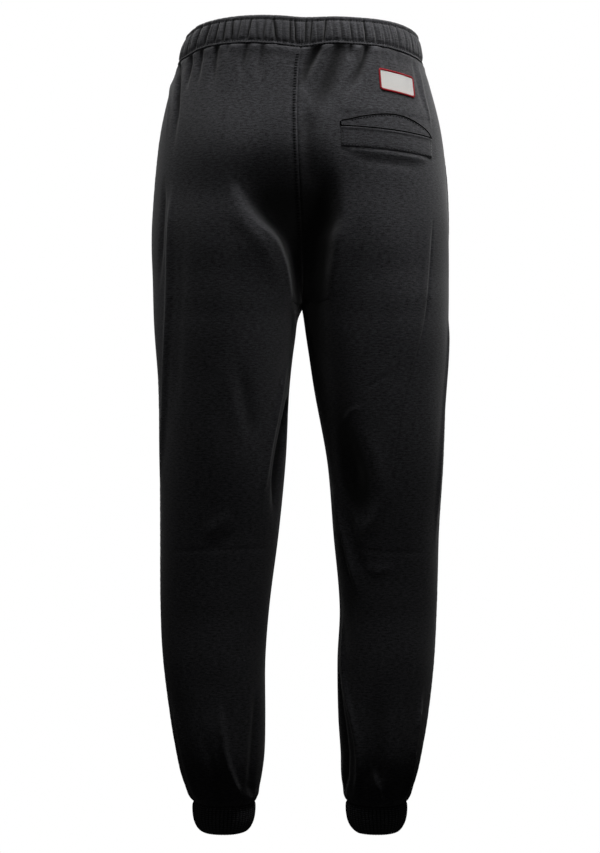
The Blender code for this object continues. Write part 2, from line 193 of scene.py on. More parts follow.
# leg panels: two backs and two fronts, from the waistband to the cuffs
panel = {
    "top": -14.5,
    "bottom": -970.4,
    "cloth": 2.0,
    "columns": {"back": 196, "front": 94},
    "fineness": {"back": 0.86, "front": 1.1},  # of the rows
    "innerStep": 3,  # the inside of the cloth has one point for this many on the outside
    "edgeColumns": (0.0, 0.7, 1.5, 2.5, 3.8, 5.4, 7.4),  # close to a seam
    # depth below the waistband and the row spacing there
    "rowSteps": [(0, 1.5), (45, 1.9), (70, 2.7), (285, 2.7), (305, 1.5), (335, 1.6), (365, 3.1),
                 (890, 3.1), (925, 2.0), (952, 1.1)],
    "seamGroove": (1.0, 1.5),  # depth and width of the dip along a seam
    "seamBand": (0.45, 3.6, 2.3),  # height, place and width of the pressed seam allowance
    # the back of the waist rides up: x, lift of the band's lower edge and of its upper edge
    "backLift": [(170, 0.0, 0.0), (156, 0.0, 0.0), (143, 1.2, 0.6), (130, 5.0, 4.4),
                 (110, 7.2, 6.4), (81, 7.8, 7.5), (53, 6.7, 7.4), (28, 4.8, 6.4),
                 (14, 3.0, 5.4), (0, 1.5, 4.2), (-12, 2.8, 4.1), (-25, 5.0, 4.5),
                 (-42, 6.4, 5.2), (-71, 5.8, 5.1), (-100, 5.1, 4.9), (-125, 2.6, 3.8),
                 (-142, 0.4, 1.7), (-156, -1.2, 0.0), (-170, -1.2, 0.0)],
    "liftFade": 62.0,  # and the panels below it take that up over this height
    "uneven": 0.55,
}

# How the back is filled out: height, reach above and below, how far out
seat = {"height": -138.0, "above": 74.0, "below": 46.0, "out": 9.0, "reach": 180.0}
thigh = {"height": -500.0, "above": 180.0, "below": 120.0, "out": 12.0}
calf = {"height": -790.0, "above": 125.0, "below": 110.0, "out": -14.0}

# The hollow between the seat's two halves and down to the crotch, over and above the seam's own
# curve: height, how deep at the seam, how far it reaches to the left and to the right.
cleft = {
    "levels": [(-60, 0.0, 44, 36), (-105, 0.6, 50, 36), (-140, 3.0, 64, 36), (-165, 8.0, 72, 38),
               (-185, 18.0, 73, 41), (-208, 32.0, 64, 42), (-230, 43.0, 48, 42),
               (-252, 50.0, 28, 36), (-278, 52.0, 17, 33), (-300, 46.0, 13, 30),
               (-330, 36.0, 10, 28), (-370, 26.0, 6, 29), (-430, 16.0, 5, 33),
               (-490, 6.0, 5, 38), (-540, 0.0, 5, 44)],
    "edge": (6.5, 5.0),  # power of the falloff to each side: higher makes that edge sharper
}

# Broad swellings and hollows: x, height, half width, half height, how far out, and a slant
backSwells = {
    "left": [(92, -128, 62, 44, 3.5, 0.0), (112, -196, 50, 24, -1.5, 0.0),
             (88, -330, 74, 96, 7.0, 0.0), (52, -262, 26, 34, 4.0, -0.4),
             (72, -640, 34, 60, -2.5, 0.0)],
    "right": [(-96, -108, 60, 40, 3.0, 0.0), (-98, -330, 70, 96, 7.0, 0.0)],
}
frontSwells = {
    "left": [(96, -380, 56, 90, 4.0, 0.0), (110, -640, 40, 60, 3.0, 0.0)],
    "right": [(-98, -370, 56, 90, 4.0, 0.0), (-112, -630, 40, 60, 3.0, 0.0)],
}


def fold(at, width, depth, fade=(0.25, 0.35), lean=0.0):
    # at holds (x, height) points as seen from that side; a ridge is over zero, a trough under.
    # fade is the share of the length over which it grows and dies; lean sharpens one side.
    return {"at": at, "width": width, "depth": depth, "fade": fade, "lean": lean}


backFolds = {
    "left": [
        # gathers let go below the waistband
        fold([(157, -10), (157, -66), (157, -103), (159, -150)], 5.5, -5.2, (0, 0.55)),
        fold([(167, -14), (168, -70), (170, -130)], 5.0, 1.6, (0, 0.5)),
        fold([(137, -6), (142, -38), (146, -72)], 4.2, -4.4, (0, 0.6)),
        fold([(121, -6), (127, -34), (132, -74)], 4.4, -4.0, (0, 0.7)),
        fold([(101, -6), (107, -36), (112, -78)], 5.0, -4.2, (0, 0.7)),
        fold([(87, -6), (91, -30)], 3.2, -2.2, (0, 0.7)),
        fold([(63, -6), (70, -34), (76, -66)], 5.0, -3.6, (0, 0.7)),
        fold([(44, -6), (49, -36), (53, -66)], 5.0, -3.4, (0, 0.7)),
        fold([(26, -8), (27, -40)], 4.0, -1.2, (0, 0.7)),
        # seat and the fold under it
        fold([(84, -176), (70, -198), (56, -216)], 6.0, -2.0, (0.3, 0.3)),
        fold([(86, -206), (72, -232), (52, -256), (36, -284), (28, -322)], 11.0, 2.6,
             (0.3, 0.3)),
        # thigh and the edge of the inner fold
        fold([(161, -175), (162, -253), (164, -327), (170, -414), (177, -500), (182, -560)],
             6.0, 4.6, (0.15, 0.2)),
        fold([(172, -165), (174, -250), (178, -320)], 6.0, -3.2, (0.3, 0.4)),
        fold([(148, -190), (148, -300), (155, -420), (163, -500)], 9.0, -1.6, (0.3, 0.3)),
        fold([(16, -398), (27, -444), (38, -505), (46, -556), (50, -590)], 5.0, 4.0,
             (0.25, 0.3)),
        fold([(5, -372), (13, -430), (23, -495), (31, -555), (36, -610)], 9.0, -9.0, (0.3, 0.3)),
        fold([(78, -398), (68, -450), (56, -520)], 12.0, -3.2, (0.35, 0.4)),
        fold([(92, -392), (84, -450), (74, -510)], 10.0, 1.6, (0.35, 0.4)),
        # knee
        fold([(128, -627), (107, -612), (85, -592)], 8.0, 1.8, (0.4, 0.4)),
        fold([(120, -648), (98, -630), (78, -614)], 7.0, -1.4, (0.4, 0.4)),
        fold([(168, -644), (102, -641), (32, -642)], 2.2, -0.55, (0.1, 0.1)),
        # calf
        fold([(103, -830), (94, -907), (78, -957)], 5.0, 5.0, (0.4, 0.12)),
        fold([(120, -860), (112, -915), (100, -965)], 8.0, -2.2, (0.4, 0.1)),
        fold([(166, -820), (143, -928), (131, -966)], 6.5, 2.2, (0.3, 0.1)),
        fold([(58, -800), (60, -880), (66, -960)], 7.0, -3.0, (0.4, 0.1)),
    ],
    "right": [
        fold([(-24, -6), (-13, -32), (-5, -50), (-2, -80)], 5.4, -6.0, (0, 0.45), 0.2),
        fold([(-36, -6), (-23, -44), (-14, -80)], 6.0, 2.0, (0, 0.6)),
        fold([(-46, -8), (-32, -62), (-20, -92), (-12, -130)], 11.0, -4.8, (0, 0.6)),
        fold([(-61, -6), (-58, -34)], 3.0, -3.4, (0, 0.6)),
        fold([(-82, -4), (-77, -30), (-71, -48), (-63, -66), (-57, -90)], 4.4, -5.6, (0, 0.6)),
        fold([(-93, -8), (-86, -50), (-76, -84)], 7.0, 1.8, (0, 0.7)),
        fold([(-100, -8), (-98, -36)], 3.6, -1.2, (0, 0.7)),
        fold([(-119, -8), (-118, -34)], 3.4, -1.0, (0, 0.7)),
        fold([(-148, -20), (-155, -66), (-161, -90), (-166, -118)], 3.6, 1.4, (0.3, 0.4)),
        fold([(-141, -20), (-149, -60), (-156, -95)], 4.5, -1.2, (0.2, 0.5)),
        fold([(-7, -84), (-9, -140), (-13, -205)], 13.0, -3.6, (0.3, 0.3)),
        # beside the hollow
        fold([(-56, -196), (-50, -240), (-42, -300), (-36, -350)], 9.0, 2.4, (0.4, 0.4)),
        fold([(-163, -153), (-110, -150), (-52, -146)], 3.4, 1.7, (0.15, 0.15)),
        fold([(-156, -164), (-110, -161), (-60, -157)], 6.0, -1.8, (0.25, 0.25)),
        # thigh
        fold([(-165, -215), (-161, -282), (-151, -365), (-129, -457), (-116, -538),
              (-117, -550)], 2.0, -2.0, (0.15, 0.1), 0.4),
        fold([(-158, -215), (-153, -282), (-142, -365), (-121, -457)], 6.0, 0.9, (0.2, 0.4)),
        fold([(-188, -330), (-186, -400), (-179, -503), (-170, -656)], 5.0, 2.6, (0.15, 0.3)),
        fold([(-30, -350), (-44, -420), (-58, -480)], 16.0, -2.5, (0.4, 0.4)),
        # back of the knee
        fold([(-40, -430), (-52, -495), (-66, -555), (-80, -622)], 19.0, -13.0, (0.6, 0.45)),
        fold([(-80, -478), (-96, -545), (-108, -600)], 10.0, 3.0, (0.4, 0.4)),
        fold([(-79, -439), (-93, -430), (-110, -420)], 2.2, -1.1, (0.3, 0.3)),
        fold([(-48, -482), (-62, -467), (-80, -461)], 3.0, 1.6, (0.3, 0.3)),
        fold([(-104, -568), (-92, -600), (-74, -626)], 8.0, 2.4, (0.4, 0.4)),
        fold([(-40, -560), (-56, -630), (-74, -706)], 4.4, 4.6, (0.25, 0.3)),
        fold([(-52, -575), (-70, -640), (-88, -700)], 6.0, -2.2, (0.3, 0.4)),
        fold([(-67, -636), (-90, -643), (-157, -645)], 2.2, -0.55, (0.1, 0.1)),
        fold([(-120, -662), (-96, -668), (-78, -660)], 6.0, 1.2, (0.4, 0.4)),
        # calf
        fold([(-52, -720), (-55, -810), (-69, -874), (-73, -915), (-68, -966)], 5.0, 4.0,
             (0.25, 0.15)),
        fold([(-88, -912), (-95, -938), (-103, -968)], 4.0, 3.4, (0.5, 0.05)),
        fold([(-44, -760), (-50, -830), (-58, -900), (-56, -960)], 6.0, -4.0, (0.3, 0.15)),
        fold([(-90, -800), (-98, -880), (-92, -950)], 16.0, -3.0, (0.4, 0.2)),
        fold([(-154, -820), (-145, -885), (-137, -935), (-128, -965)], 4.6, 4.6, (0.3, 0.1)),
    ],
}
frontFolds = {
    "left": [
        fold([(20, -8), (24, -40), (27, -84)], 5.0, -2.8, (0, 0.7)),
        fold([(48, -8), (50, -52)], 4.4, -2.2, (0, 0.7)),
        fold([(72, -8), (77, -44), (80, -96)], 6.0, -3.2, (0, 0.7)),
        fold([(98, -8), (101, -38)], 4.0, -1.8, (0, 0.7)),
        fold([(119, -8), (124, -46), (127, -82)], 4.6, -2.6, (0, 0.7)),
        fold([(142, -8), (146, -50)], 4.0, -1.8, (0, 0.7)),
        fold([(14, -300), (44, -286), (86, -262), (128, -236)], 11.0, -4.0, (0.2, 0.5)),
        fold([(12, -322), (46, -312), (92, -292), (130, -272)], 10.0, 3.0, (0.2, 0.5)),
        fold([(18, -352), (52, -352), (96, -338)], 9.0, -2.6, (0.2, 0.5)),
        fold([(60, -600), (96, -618), (140, -612)], 12.0, -2.2, (0.4, 0.4)),
        fold([(62, -650), (100, -662), (150, -652)], 12.0, -1.8, (0.4, 0.4)),
        fold([(150, -700), (140, -790), (126, -870)], 9.0, 2.4, (0.4, 0.4)),
        fold([(84, -830), (92, -900), (98, -966)], 7.0, -3.0, (0.4, 0.05)),
        fold([(128, -850), (120, -920), (112, -966)], 6.0, -2.2, (0.4, 0.05)),
    ],
    "right": [
        fold([(-24, -8), (-28, -44), (-30, -92)], 5.4, -3.0, (0, 0.7)),
        fold([(-52, -8), (-54, -46)], 4.0, -2.0, (0, 0.7)),
        fold([(-79, -8), (-83, -40), (-86, -80)], 5.4, -2.8, (0, 0.7)),
        fold([(-104, -8), (-108, -50)], 4.6, -2.2, (0, 0.7)),
        fold([(-128, -8), (-133, -50), (-136, -90)], 4.8, -2.6, (0, 0.7)),
        fold([(-147, -8), (-150, -42)], 3.8, -1.4, (0, 0.7)),
        fold([(-14, -296), (-48, -278), (-90, -252), (-126, -230)], 11.0, -3.6, (0.2, 0.5)),
        fold([(-12, -320), (-50, -306), (-94, -284)], 10.0, 2.8, (0.2, 0.5)),
        fold([(-18, -350), (-56, -346), (-92, -334)], 9.0, -2.4, (0.2, 0.5)),
        fold([(-70, -606), (-104, -620), (-148, -610)], 12.0, -2.2, (0.4, 0.4)),
        fold([(-66, -700), (-76, -780), (-90, -860)], 9.0, 2.2, (0.4, 0.4)),
        fold([(-86, -820), (-96, -900), (-100, -966)], 7.0, -2.8, (0.4, 0.05)),
        fold([(-134, -840), (-124, -915), (-114, -966)], 6.0, -2.4, (0.4, 0.05)),
    ],
}


def wholeSteps(values):
    # the same run of values, but so many that the inner layer's step goes into them
    count = round((len(values) - 1) / panel["innerStep"]) * panel["innerStep"] + 1
    return np.interp(np.linspace(0, 1, count), np.linspace(0, 1, len(values)), values)


def rowHeights(face):
    heights = [panel["top"]]
    below, steps = zip(*panel["rowSteps"])
    while heights[-1] > panel["bottom"]:
        step = np.interp(panel["top"] - heights[-1], below, steps) * panel["fineness"][face]
        heights.append(heights[-1] - step)
    heights[-1] = panel["bottom"]
    return wholeSteps(np.array(heights))


def panelPlaces(length, columns):
    edge = np.array(panel["edgeColumns"])
    inside = np.linspace(edge[-1], length - edge[-1], columns)[1:-1]
    return wholeSteps(np.concatenate([edge, inside, (length - edge)[::-1]]))


def foldField(grid, item):
    # how far one fold moves each point of a panel, in mm
    path = smoothPath(item["at"], 22)
    rows = np.clip(np.searchsorted(-grid["z"], -path[:, 1]), 0, len(grid["z"]) - 1)
    order = 1 if grid["x"][0, 0] < grid["x"][0, -1] else -1
    e = np.array([np.interp(x, grid["x"][row, ::order], grid["e"][row, ::order])
                  for x, row in zip(path[:, 0], rows)])
    line = np.stack([e, path[:, 1]], axis=1)
    spread = item["width"] * 3.2
    points = np.stack([grid["e"], grid["pz"]], axis=2)
    low, high = line.min(axis=0) - spread, line.max(axis=0) + spread
    near = np.all((points > low) & (points < high), axis=2)
    field = np.zeros(grid["e"].shape)
    chosen = points[near]
    if not len(chosen):
        return field
    best = np.full(len(chosen), 1e9)
    place = np.zeros(len(chosen))
    side = np.zeros(len(chosen))
    for i in range(len(line) - 1):
        start, step = line[i], line[i + 1] - line[i]
        offset = chosen - start
        t = np.clip(offset @ step / max(step @ step, 1e-9), 0, 1)
        gap = offset - t[:, None] * step
        distance = np.hypot(gap[:, 0], gap[:, 1])
        closer = distance < best
        best[closer] = distance[closer]
        place[closer] = (i + t[closer]) / (len(line) - 1)
        side[closer] = np.sign(step[0] * gap[closer, 1] - step[1] * gap[closer, 0])
    grow, die = item["fade"]
    strength = smoothStep(place / grow) if grow else 1.0
    strength = strength * (smoothStep((1 - place) / die) if die else 1.0)
    width = item["width"] * (1 + item["lean"] * side)
    field[near] = item["depth"] * strength * np.exp(-((best / width) ** 2))
    return field


def swellField(grid, rows):
    field = np.zeros(grid["e"].shape)
    for x, z, wide, tall, depth, slant in rows:
        across = grid["x"] - x - slant * (grid["pz"] - z)
        field += depth * np.exp(-((across / wide) ** 2) - ((grid["pz"] - z) / tall) ** 2)
    return field


def unevenField(e, z, size, seed):
    # slow waves that never repeat exactly, so that no part of the cloth is dead smooth
    dice = random.Random(seed)
    total = np.zeros(e.shape)
    for _ in range(9):
        across, down = dice.uniform(0.35, 1.0), dice.uniform(0.25, 0.8)
        length = dice.uniform(55, 150)
        turn = dice.choice((-1, 1))
        wave = math.tau * (across * e + turn * down * z) / length + dice.uniform(0, math.tau)
        total += np.sin(wave) * length / 300
    return total * size


def seamField(grid, side, face):
    # the dip of the seam itself, the pressed allowance beside it, and its puckers
    s, z, fromEnd = grid["s"], grid["z"][:, None], grid["e"]
    dip, dipWidth = panel["seamGroove"]
    high, place, wide = panel["seamBand"]
    flat = np.where(z > body["crotch"], seamRise(z, face), 1.0) ** 3
    field = -dip * (flat * np.exp(-((s / dipWidth) ** 2)) + np.exp(-((fromEnd / dipWidth) ** 2)))
    stitched = face == "back" and side == "left"
    strength = high * (1.7 if stitched else 1.0)
    field += strength * np.exp(-(((s - place) / wide) ** 2)) * np.where(z > -325, 1, 0.6)
    field += high * 0.8 * np.exp(-(((fromEnd - place) / wide) ** 2))
    pucker = np.sin(z * 0.62 + 1.7 * np.sin(z * 0.13)) * np.sin(z * 0.21 + 0.8)
    field += 0.30 * pucker * np.exp(-(((s - 7) / 6) ** 2)) * flat * (z > body["crotch"])
    field += 0.16 * pucker * np.exp(-(((fromEnd - 6) / 6) ** 2))
    return field


def hemField(grid, seed):
    # the leg is fuller than the cuff, so it puckers and rolls over it
    s, z = grid["s"], grid["z"][:, None]
    above = z - panel["bottom"]
    dice = random.Random(seed)
    field = np.zeros(s.shape)
    place = dice.uniform(4, 8)
    while place < 130:
        deep, wide, tall = dice.uniform(0.5, 1.5), dice.uniform(1.8, 3.4), dice.uniform(9, 26)
        lean = dice.uniform(-0.25, 0.25)
        field -= deep * np.exp(-(((s - place - lean * above) / wide) ** 2) - (above / tall) ** 2)
        place += dice.uniform(6, 12)
    field += 1.5 * np.exp(-(((above - 9) / 8) ** 2))
    return field - 2.8 * smoothStep(1 - above / 3.2)


def pocketField(grid, side, face):
    # the pocket bag shows through as a soft edge, and the welt presses into the seat
    if side == "left" or face == "front":
        return 0.0
    x, z = grid["x"], grid["z"][:, None]
    inX = smoothStep((x + 172) / 8) * smoothStep((-44 - x) / 6)
    inZ = smoothStep((-96 - z) / 4) * smoothStep((z + 154) / 5)
    return -0.7 * inX * inZ


def cleftDepth(x, z):
    heights, deep, left, right = zip(*cleft["levels"])
    reach = np.where(x > 0, curveThrough(heights, left, z), curveThrough(heights, right, z))
    inside = (z < heights[0]) & (z > heights[-1])
    shape = np.exp(-(np.abs(x / reach) ** np.where(x > 0, *cleft["edge"])))
    return np.where(inside, np.maximum(curveThrough(heights, deep, z), 0), 0) * shape


def filledOut(x, z, s, length):
    # the seat stands out below the waistband and the thighs above the knees; the calves fall in
    away = z - seat["height"]
    tall = np.where(away > 0, seat["above"], seat["below"])
    across = np.clip(1 - (x / seat["reach"]) ** 2, 0, 1) ** 1.5
    out = seat["out"] * np.exp(-((away / tall) ** 2)) * across
    t = s / length[:, None]
    for part in (thigh, calf):
        away = z - part["height"]
        tall = np.where(away > 0, part["above"], part["below"])
        out = out + part["out"] * np.exp(-((away / tall) ** 2)) * (4 * t * (1 - t)) ** 0.8
    return out


def lowestNear(field, reach):
    # the lowest value within a few points, so that the inside never shows through a crease
    padded = np.pad(field, reach, mode="edge")
    rows, columns = field.shape
    lowest = field.copy()
    for i in range(2 * reach + 1):
        for j in range(2 * reach + 1):
            lowest = np.minimum(lowest, padded[i:i + rows, j:j + columns])
    return lowest


def backLift(x, y, share):
    # how much higher the waist rides at the back; share is 0 at the band's lower edge, 1 at
    # its upper one
    at, low, high = zip(*panel["backLift"])
    lift = curveThrough(at, low, x) * (1 - share) + curveThrough(at, high, x) * share
    return lift * smoothStep((y + 4) / 30)


def panelGrid(side, face):
    heights = rowHeights(face)
    x, y = halfSections(side, face, heights)
    x, y, s, length = spacedAlong(x, y, lambda run: panelPlaces(run, panel["columns"][face]))
    # s runs from the inner or centre seam, and e from the side seam
    grid = {"x": x, "y": y, "z": heights, "s": s, "e": length[:, None] - s, "length": length}
    below = panel["top"] - heights[:, None]
    taken = 1 - smoothStep(below / panel["liftFade"])
    grid["pz"] = heights[:, None] + backLift(x, y, 0.0) * taken
    alongX, alongY = np.gradient(x, axis=1), np.gradient(y, axis=1)
    size = np.hypot(alongX, alongY)
    turn = outward[side] * facing[face]
    normalX, normalY = -alongY / size * turn, alongX / size * turn
    seed = {"leftback": 3, "rightback": 5, "leftfront": 7, "rightfront": 11}[side + face]
    field = np.zeros(x.shape)
    for item in (backFolds if face == "back" else frontFolds)[side]:
        field += foldField(grid, item)
    # painted shade in the troughs of the folds, darker the deeper they go
    grid["shade"] = 0.8 * smoothStep(-field / 5.5 - 0.1)
    field += swellField(grid, (backSwells if face == "back" else frontSwells)[side])
    field += unevenField(grid["e"], heights[:, None], panel["uneven"], seed)
    field *= smoothStep(np.minimum(s, grid["e"]) / 16)  # the seams themselves stay put
    field *= 0.12 + 0.88 * smoothStep((panel["top"] - heights[:, None] - 1.5) / 8)
    field += seamField(grid, side, face) + hemField(grid, seed) + pocketField(grid, side, face)
    field += 1.0 * np.exp(-(((below - 8) / 5) ** 2))
    hollow = 0.0
    if face == "back":
        hollow = cleftDepth(x, grid["pz"])
        # painted shade down in the hollow between the seat's halves
        grid["shade"] = np.maximum(grid["shade"], 0.9 * smoothStep(hollow / 30))
        hollow = hollow - filledOut(x, grid["pz"], s, length)
    field -= 1.6 * (1 - smoothStep((below - 2.5) / 3.0))  # it goes up inside the waistband
    deepest = lowestNear(field, panel["innerStep"]) - panel["cloth"]
    for name, out in (("outside", field), ("inside", deepest)):
        points = [x + normalX * out, y + normalY * out - hollow, grid["pz"]]
        grid[name] = np.stack(points, axis=2) * mm
    return grid


def newPiece(name, places, faces, uv):
    # an object from its points, faces and the texture place of each face corner
    mesh = bpy.data.meshes.new(name)
    mesh.from_pydata(places.tolist(), [], faces)
    mesh.uv_layers.new(name="cloth").data.foreach_set("uv", uv.ravel())
    mesh.polygons.foreach_set("use_smooth", [True] * len(mesh.polygons))
    piece = bpy.data.objects.new(name, mesh)
    bpy.context.scene.collection.objects.link(piece)
    return piece


def gridMesh(name, points, uv, closed=False, flip=False):
    # points is rows x columns x 3 in metres; closed joins the last column to the first
    rows, columns = points.shape[:2]
    wrap = columns if closed else columns - 1
    i, j = np.meshgrid(np.arange(rows - 1), np.arange(wrap), indexing="ij")
    after = (j + 1) % columns
    quads = np.stack([i * columns + j, i * columns + after, (i + 1) * columns + after,
                      (i + 1) * columns + j], axis=2).reshape(-1, 4)
    corner = np.stack([np.stack([i, j], 2), np.stack([i, j + 1], 2), np.stack([i + 1, j + 1], 2),
                       np.stack([i + 1, j], 2)], axis=2).reshape(-1, 4, 2)
    if flip:
        quads, corner = quads[:, ::-1], corner[:, ::-1]
    corners = uv[corner[..., 0].ravel(), corner[..., 1].ravel()]
    return newPiece(name, points.reshape(-1, 3), quads.tolist(), corners)


def setPaintedShade(mesh, shade):
    # painted shade: how much the materials darken each point's colour down in a crease, gather or
    # hollow, standing in for shade
    layer = mesh.attributes.new("shade", "FLOAT", "POINT")
    layer.data.foreach_set("value", np.clip(shade, 0, 1).ravel().astype(np.float32))


def shellMesh(name, outside, inside, uv, step, flip):
    # a closed sheet: fine outside, coarse inside, and strips that close its four edges
    rows, columns = outside.shape[:2]
    inner, innerUv = inside[::step, ::step], uv[::step, ::step]
    fine = np.arange(rows * columns).reshape(rows, columns)
    coarse = rows * columns + np.arange(inner[..., 0].size).reshape(inner.shape[:2])
    faces = np.stack([fine[:-1, :-1], fine[:-1, 1:], fine[1:, 1:], fine[1:, :-1]],
                     axis=2).reshape(-1, 4).tolist()
    faces += np.stack([coarse[:-1, :-1], coarse[1:, :-1], coarse[1:, 1:], coarse[:-1, 1:]],
                      axis=2).reshape(-1, 4).tolist()
    for edge, under, turn in ((fine[0], coarse[0], -1), (fine[-1], coarse[-1], 1),
                              (fine[:, 0], coarse[:, 0], 1), (fine[:, -1], coarse[:, -1], -1)):
        for k in range(len(under) - 1):
            strip = list(edge[k * step:(k + 1) * step + 1]) + [under[k + 1], under[k]]
            faces.append([int(v) for v in strip[::turn]])
    if flip:
        faces = [face[::-1] for face in faces]
    places = np.concatenate([outside.reshape(-1, 3), inner.reshape(-1, 3)])
    corners = np.fromiter((v for face in faces for v in face), int)
    flat = np.concatenate([uv.reshape(-1, 2), innerUv.reshape(-1, 2)])
    return newPiece(name, places, faces, flat[corners])


def uvOf(across, down):
    # texture coordinates in metres of cloth
    down = np.broadcast_to(down, across.shape)
    return np.stack([across, down], axis=2) * mm


def giveThickness(piece, cloth):
    wall = piece.modifiers.new("cloth", "SOLIDIFY")
    wall.thickness = cloth * mm
    wall.offset = -1.0  # all of it under the points
    return piece


panelGrids = {}
panelPieces = {}
for face in facing:
    for side in outward:
        grid = panelGrid(side, face)
        name = f"{face}_panel_{side}"
        piece = shellMesh(name, grid["outside"], grid["inside"],
                          uvOf(grid["e"], grid["z"][:, None]), panel["innerStep"],
                          flip=outward[side] * facing[face] < 0)
        setPaintedShade(piece.data, np.concatenate([
            grid["shade"].ravel(),
            grid["shade"][::panel["innerStep"], ::panel["innerStep"]].ravel()]))
        panelGrids[side, face] = grid
        panelPieces[side, face] = piece
        print("panel", name, grid["e"].shape[0], "rows of", grid["e"].shape[1])


# waistband: folded over elastic, gathered, with its rows of stitches
band = {
    # round the wall from the lower edge up the outside, over the top and down the inside:
    # height, how far out from the body, and how much of the gathers shows there
    "wall": [(-18.5, -0.8, 0.1), (-18.0, 0.3, 0.15), (-16.2, 1.0, 0.2), (-14.9, 0.6, 0.2),
             (-13.6, -0.6, 0.3), (-12.4, 0.7, 0.6), (-9.0, 1.9, 1.0), (-3.0, 2.5, 1.15),
             (4.0, 2.4, 1.1), (9.5, 1.6, 0.9), (12.2, 0.7, 0.6), (13.3, -0.3, 0.45),
             (14.4, 0.6, 0.5), (16.6, 0.9, 0.45), (18.2, -0.2, 0.35), (18.9, -2.2, 0.2),
             (18.2, -4.2, 0.1), (15.0, -4.8, 0.0), (4.0, -4.6, 0.0), (-8.0, -4.4, 0.0),
             (-15.0, -4.2, 0.0), (-18.0, -3.6, 0.0), (-18.6, -2.2, 0.05)],
    "wallPoints": 46,
    "quarterStations": 255,
    # the gathers seen from behind: x, how deep, half width, slant over the height
    "backGathers": [(148, 1.2, 1.7, 2), (141, 1.9, 1.9, 3), (130, 2.2, 2.2, 3),
                    (118, 2.4, 2.3, 2), (112, 1.0, 1.2, 1), (105.5, 1.9, 1.8, 1),
                    (95.8, 2.3, 1.7, -1), (85.7, 2.3, 1.6, -2), (77, 1.5, 1.5, 1),
                    (70, 0.8, 1.2, 0), (64.4, 2.6, 1.3, 2), (55, 0.9, 1.4, -2),
                    (45.8, 1.3, 1.5, 1), (38, 0.8, 1.2, 2), (32.2, 2.4, 1.3, -3),
                    (23, 0.7, 1.3, 0), (13.6, 2.3, 1.2, 0), (7.0, 2.5, 1.1, -1),
                    (-5.8, 1.9, 1.2, 1), (-12.4, 2.2, 1.2, 2), (-20, 0.8, 1.3, 0),
                    (-29.7, 2.6, 1.2, 3), (-40, 0.8, 1.4, 1), (-50, 1.0, 1.5, 0),
                    (-62, 1.3, 1.4, 0), (-70, 0.7, 1.2, 0), (-79.5, 2.4, 1.3, 1),
                    (-92, 0.9, 1.5, 0), (-103, 0.8, 1.4, 0), (-112, 0.7, 1.2, 0),
                    (-121, 0.9, 1.3, 0), (-130, 0.8, 1.2, 0), (-139, 0.9, 1.2, 0),
                    (-147, 0.8, 1.2, 0)],
    "frontSpacing": (7.0, 13.0),
    "fineGather": 0.16,
    "gatherDepth": 1.9,
    "gatherWidth": 1.2,
}


def joinedSections(turns, height, places):
    # panel outlines one after another, with the distance along them; turns holds a panel's side
    # and face and whether it is followed backwards
    xs, ys, runs, begun = [], [], [], 0.0
    for side, face, backwards in turns:
        x, y = halfSections(side, face, [height])
        if backwards:
            x, y = x[:, ::-1], y[:, ::-1]
        newX, newY, where, length = spacedAlong(x, y, places)
        xs.append(newX[0])
        ys.append(newY[0])
        runs.append(where[0] + begun)
        begun += length[0]
    return np.concatenate(xs), np.concatenate(ys), np.concatenate(runs), begun


def ringStations(height, perQuarter):
    # points round the whole body from the centre back over the right side, with their normals
    # and the distance round the ring
    share = np.linspace(0, 1, perQuarter + 1)[:-1]
    turns = [("right", "back", False), ("right", "front", True), ("left", "front", False),
             ("left", "back", True)]
    x, y, run, total = joinedSections(turns, height, lambda length: share * length)
    alongX, alongY = np.roll(x, -1) - np.roll(x, 1), np.roll(y, -1) - np.roll(y, 1)
    size = np.hypot(alongX, alongY)
    return x, y, alongY / size, -alongX / size, run, total


def gatherList():
    # every gather as (distance round the ring, depth, half width, slant)
    x, y, _, _, run, total = ringStations(0.0, 400)
    behind = y > 0
    order = np.argsort(x[behind])
    found = [(float(np.interp(at, x[behind][order], run[behind][order] if at < 0 else
                              (run[behind][order] + (run[behind][order] < total / 2) * total))),
              deep, wide, slant) for at, deep, wide, slant in band["backGathers"]]
    dice = random.Random(23)
    place = total * 0.26
    while place < total * 0.74:
        found.append((place, dice.uniform(0.8, 2.6), dice.uniform(1.2, 2.2), dice.uniform(-3, 3)))
        place += dice.uniform(*band["frontSpacing"])
    return found, total


def closedLoop(rows, count):
    # evenly spaced values round a closed loop of table rows
    rows = np.asarray(rows, float)
    looped = np.concatenate([rows[-2:], rows, rows[:3]])
    steps = np.linalg.norm(np.diff(looped[:, :2], axis=0), axis=1)
    run = np.concatenate([[0.0], np.cumsum(steps)])
    where = np.linspace(run[2], run[2 + len(rows)], count + 1)[:-1]
    return np.stack([curveThrough(run, looped[:, k], where) for k in range(rows.shape[1])],
                    axis=1)


def bandRing():
    gathers, total = gatherList()
    wall = closedLoop(band["wall"], band["wallPoints"])
    dice = random.Random(9)
    phases = [dice.uniform(0, math.tau) for _ in range(4)]
    rings, paintedShades = [], []
    for height, out, share in wall:
        x, y, nx, ny, run, length = ringStations(height, band["quarterStations"])
        run = run / length * total
        depth = np.zeros(len(x))
        for place, deep, wide, slant in gathers:
            away = (run - place - slant * height / 18 + total / 2) % total - total / 2
            depth -= band["gatherDepth"] * deep * np.exp(
                -((np.abs(away) / wide / band["gatherWidth"]) ** 1.5))
        # painted shade down in the gathers
        paintedShades.append(smoothStep(-depth / 3.2) * min(share, 1.0) * 0.85)
        fine = sum(np.sin(run * rate + phase + height * 0.1 * (k - 1.5))
                   for k, (rate, phase) in enumerate(zip((0.93, 1.37, 0.71, 1.91), phases)))
        depth += band["fineGather"] * fine
        seam = (run + total / 2) % total - total / 2
        depth -= 0.9 * np.exp(-((seam / 0.9) ** 2)) / max(share, 0.35)
        move = out + depth * share
        lift = backLift(x, y, (height + 18.5) / 37.4)
        rings.append(np.stack([x + nx * move, y + ny * move, height + lift, run], axis=1))
    return np.array(rings), np.array(paintedShades), wall


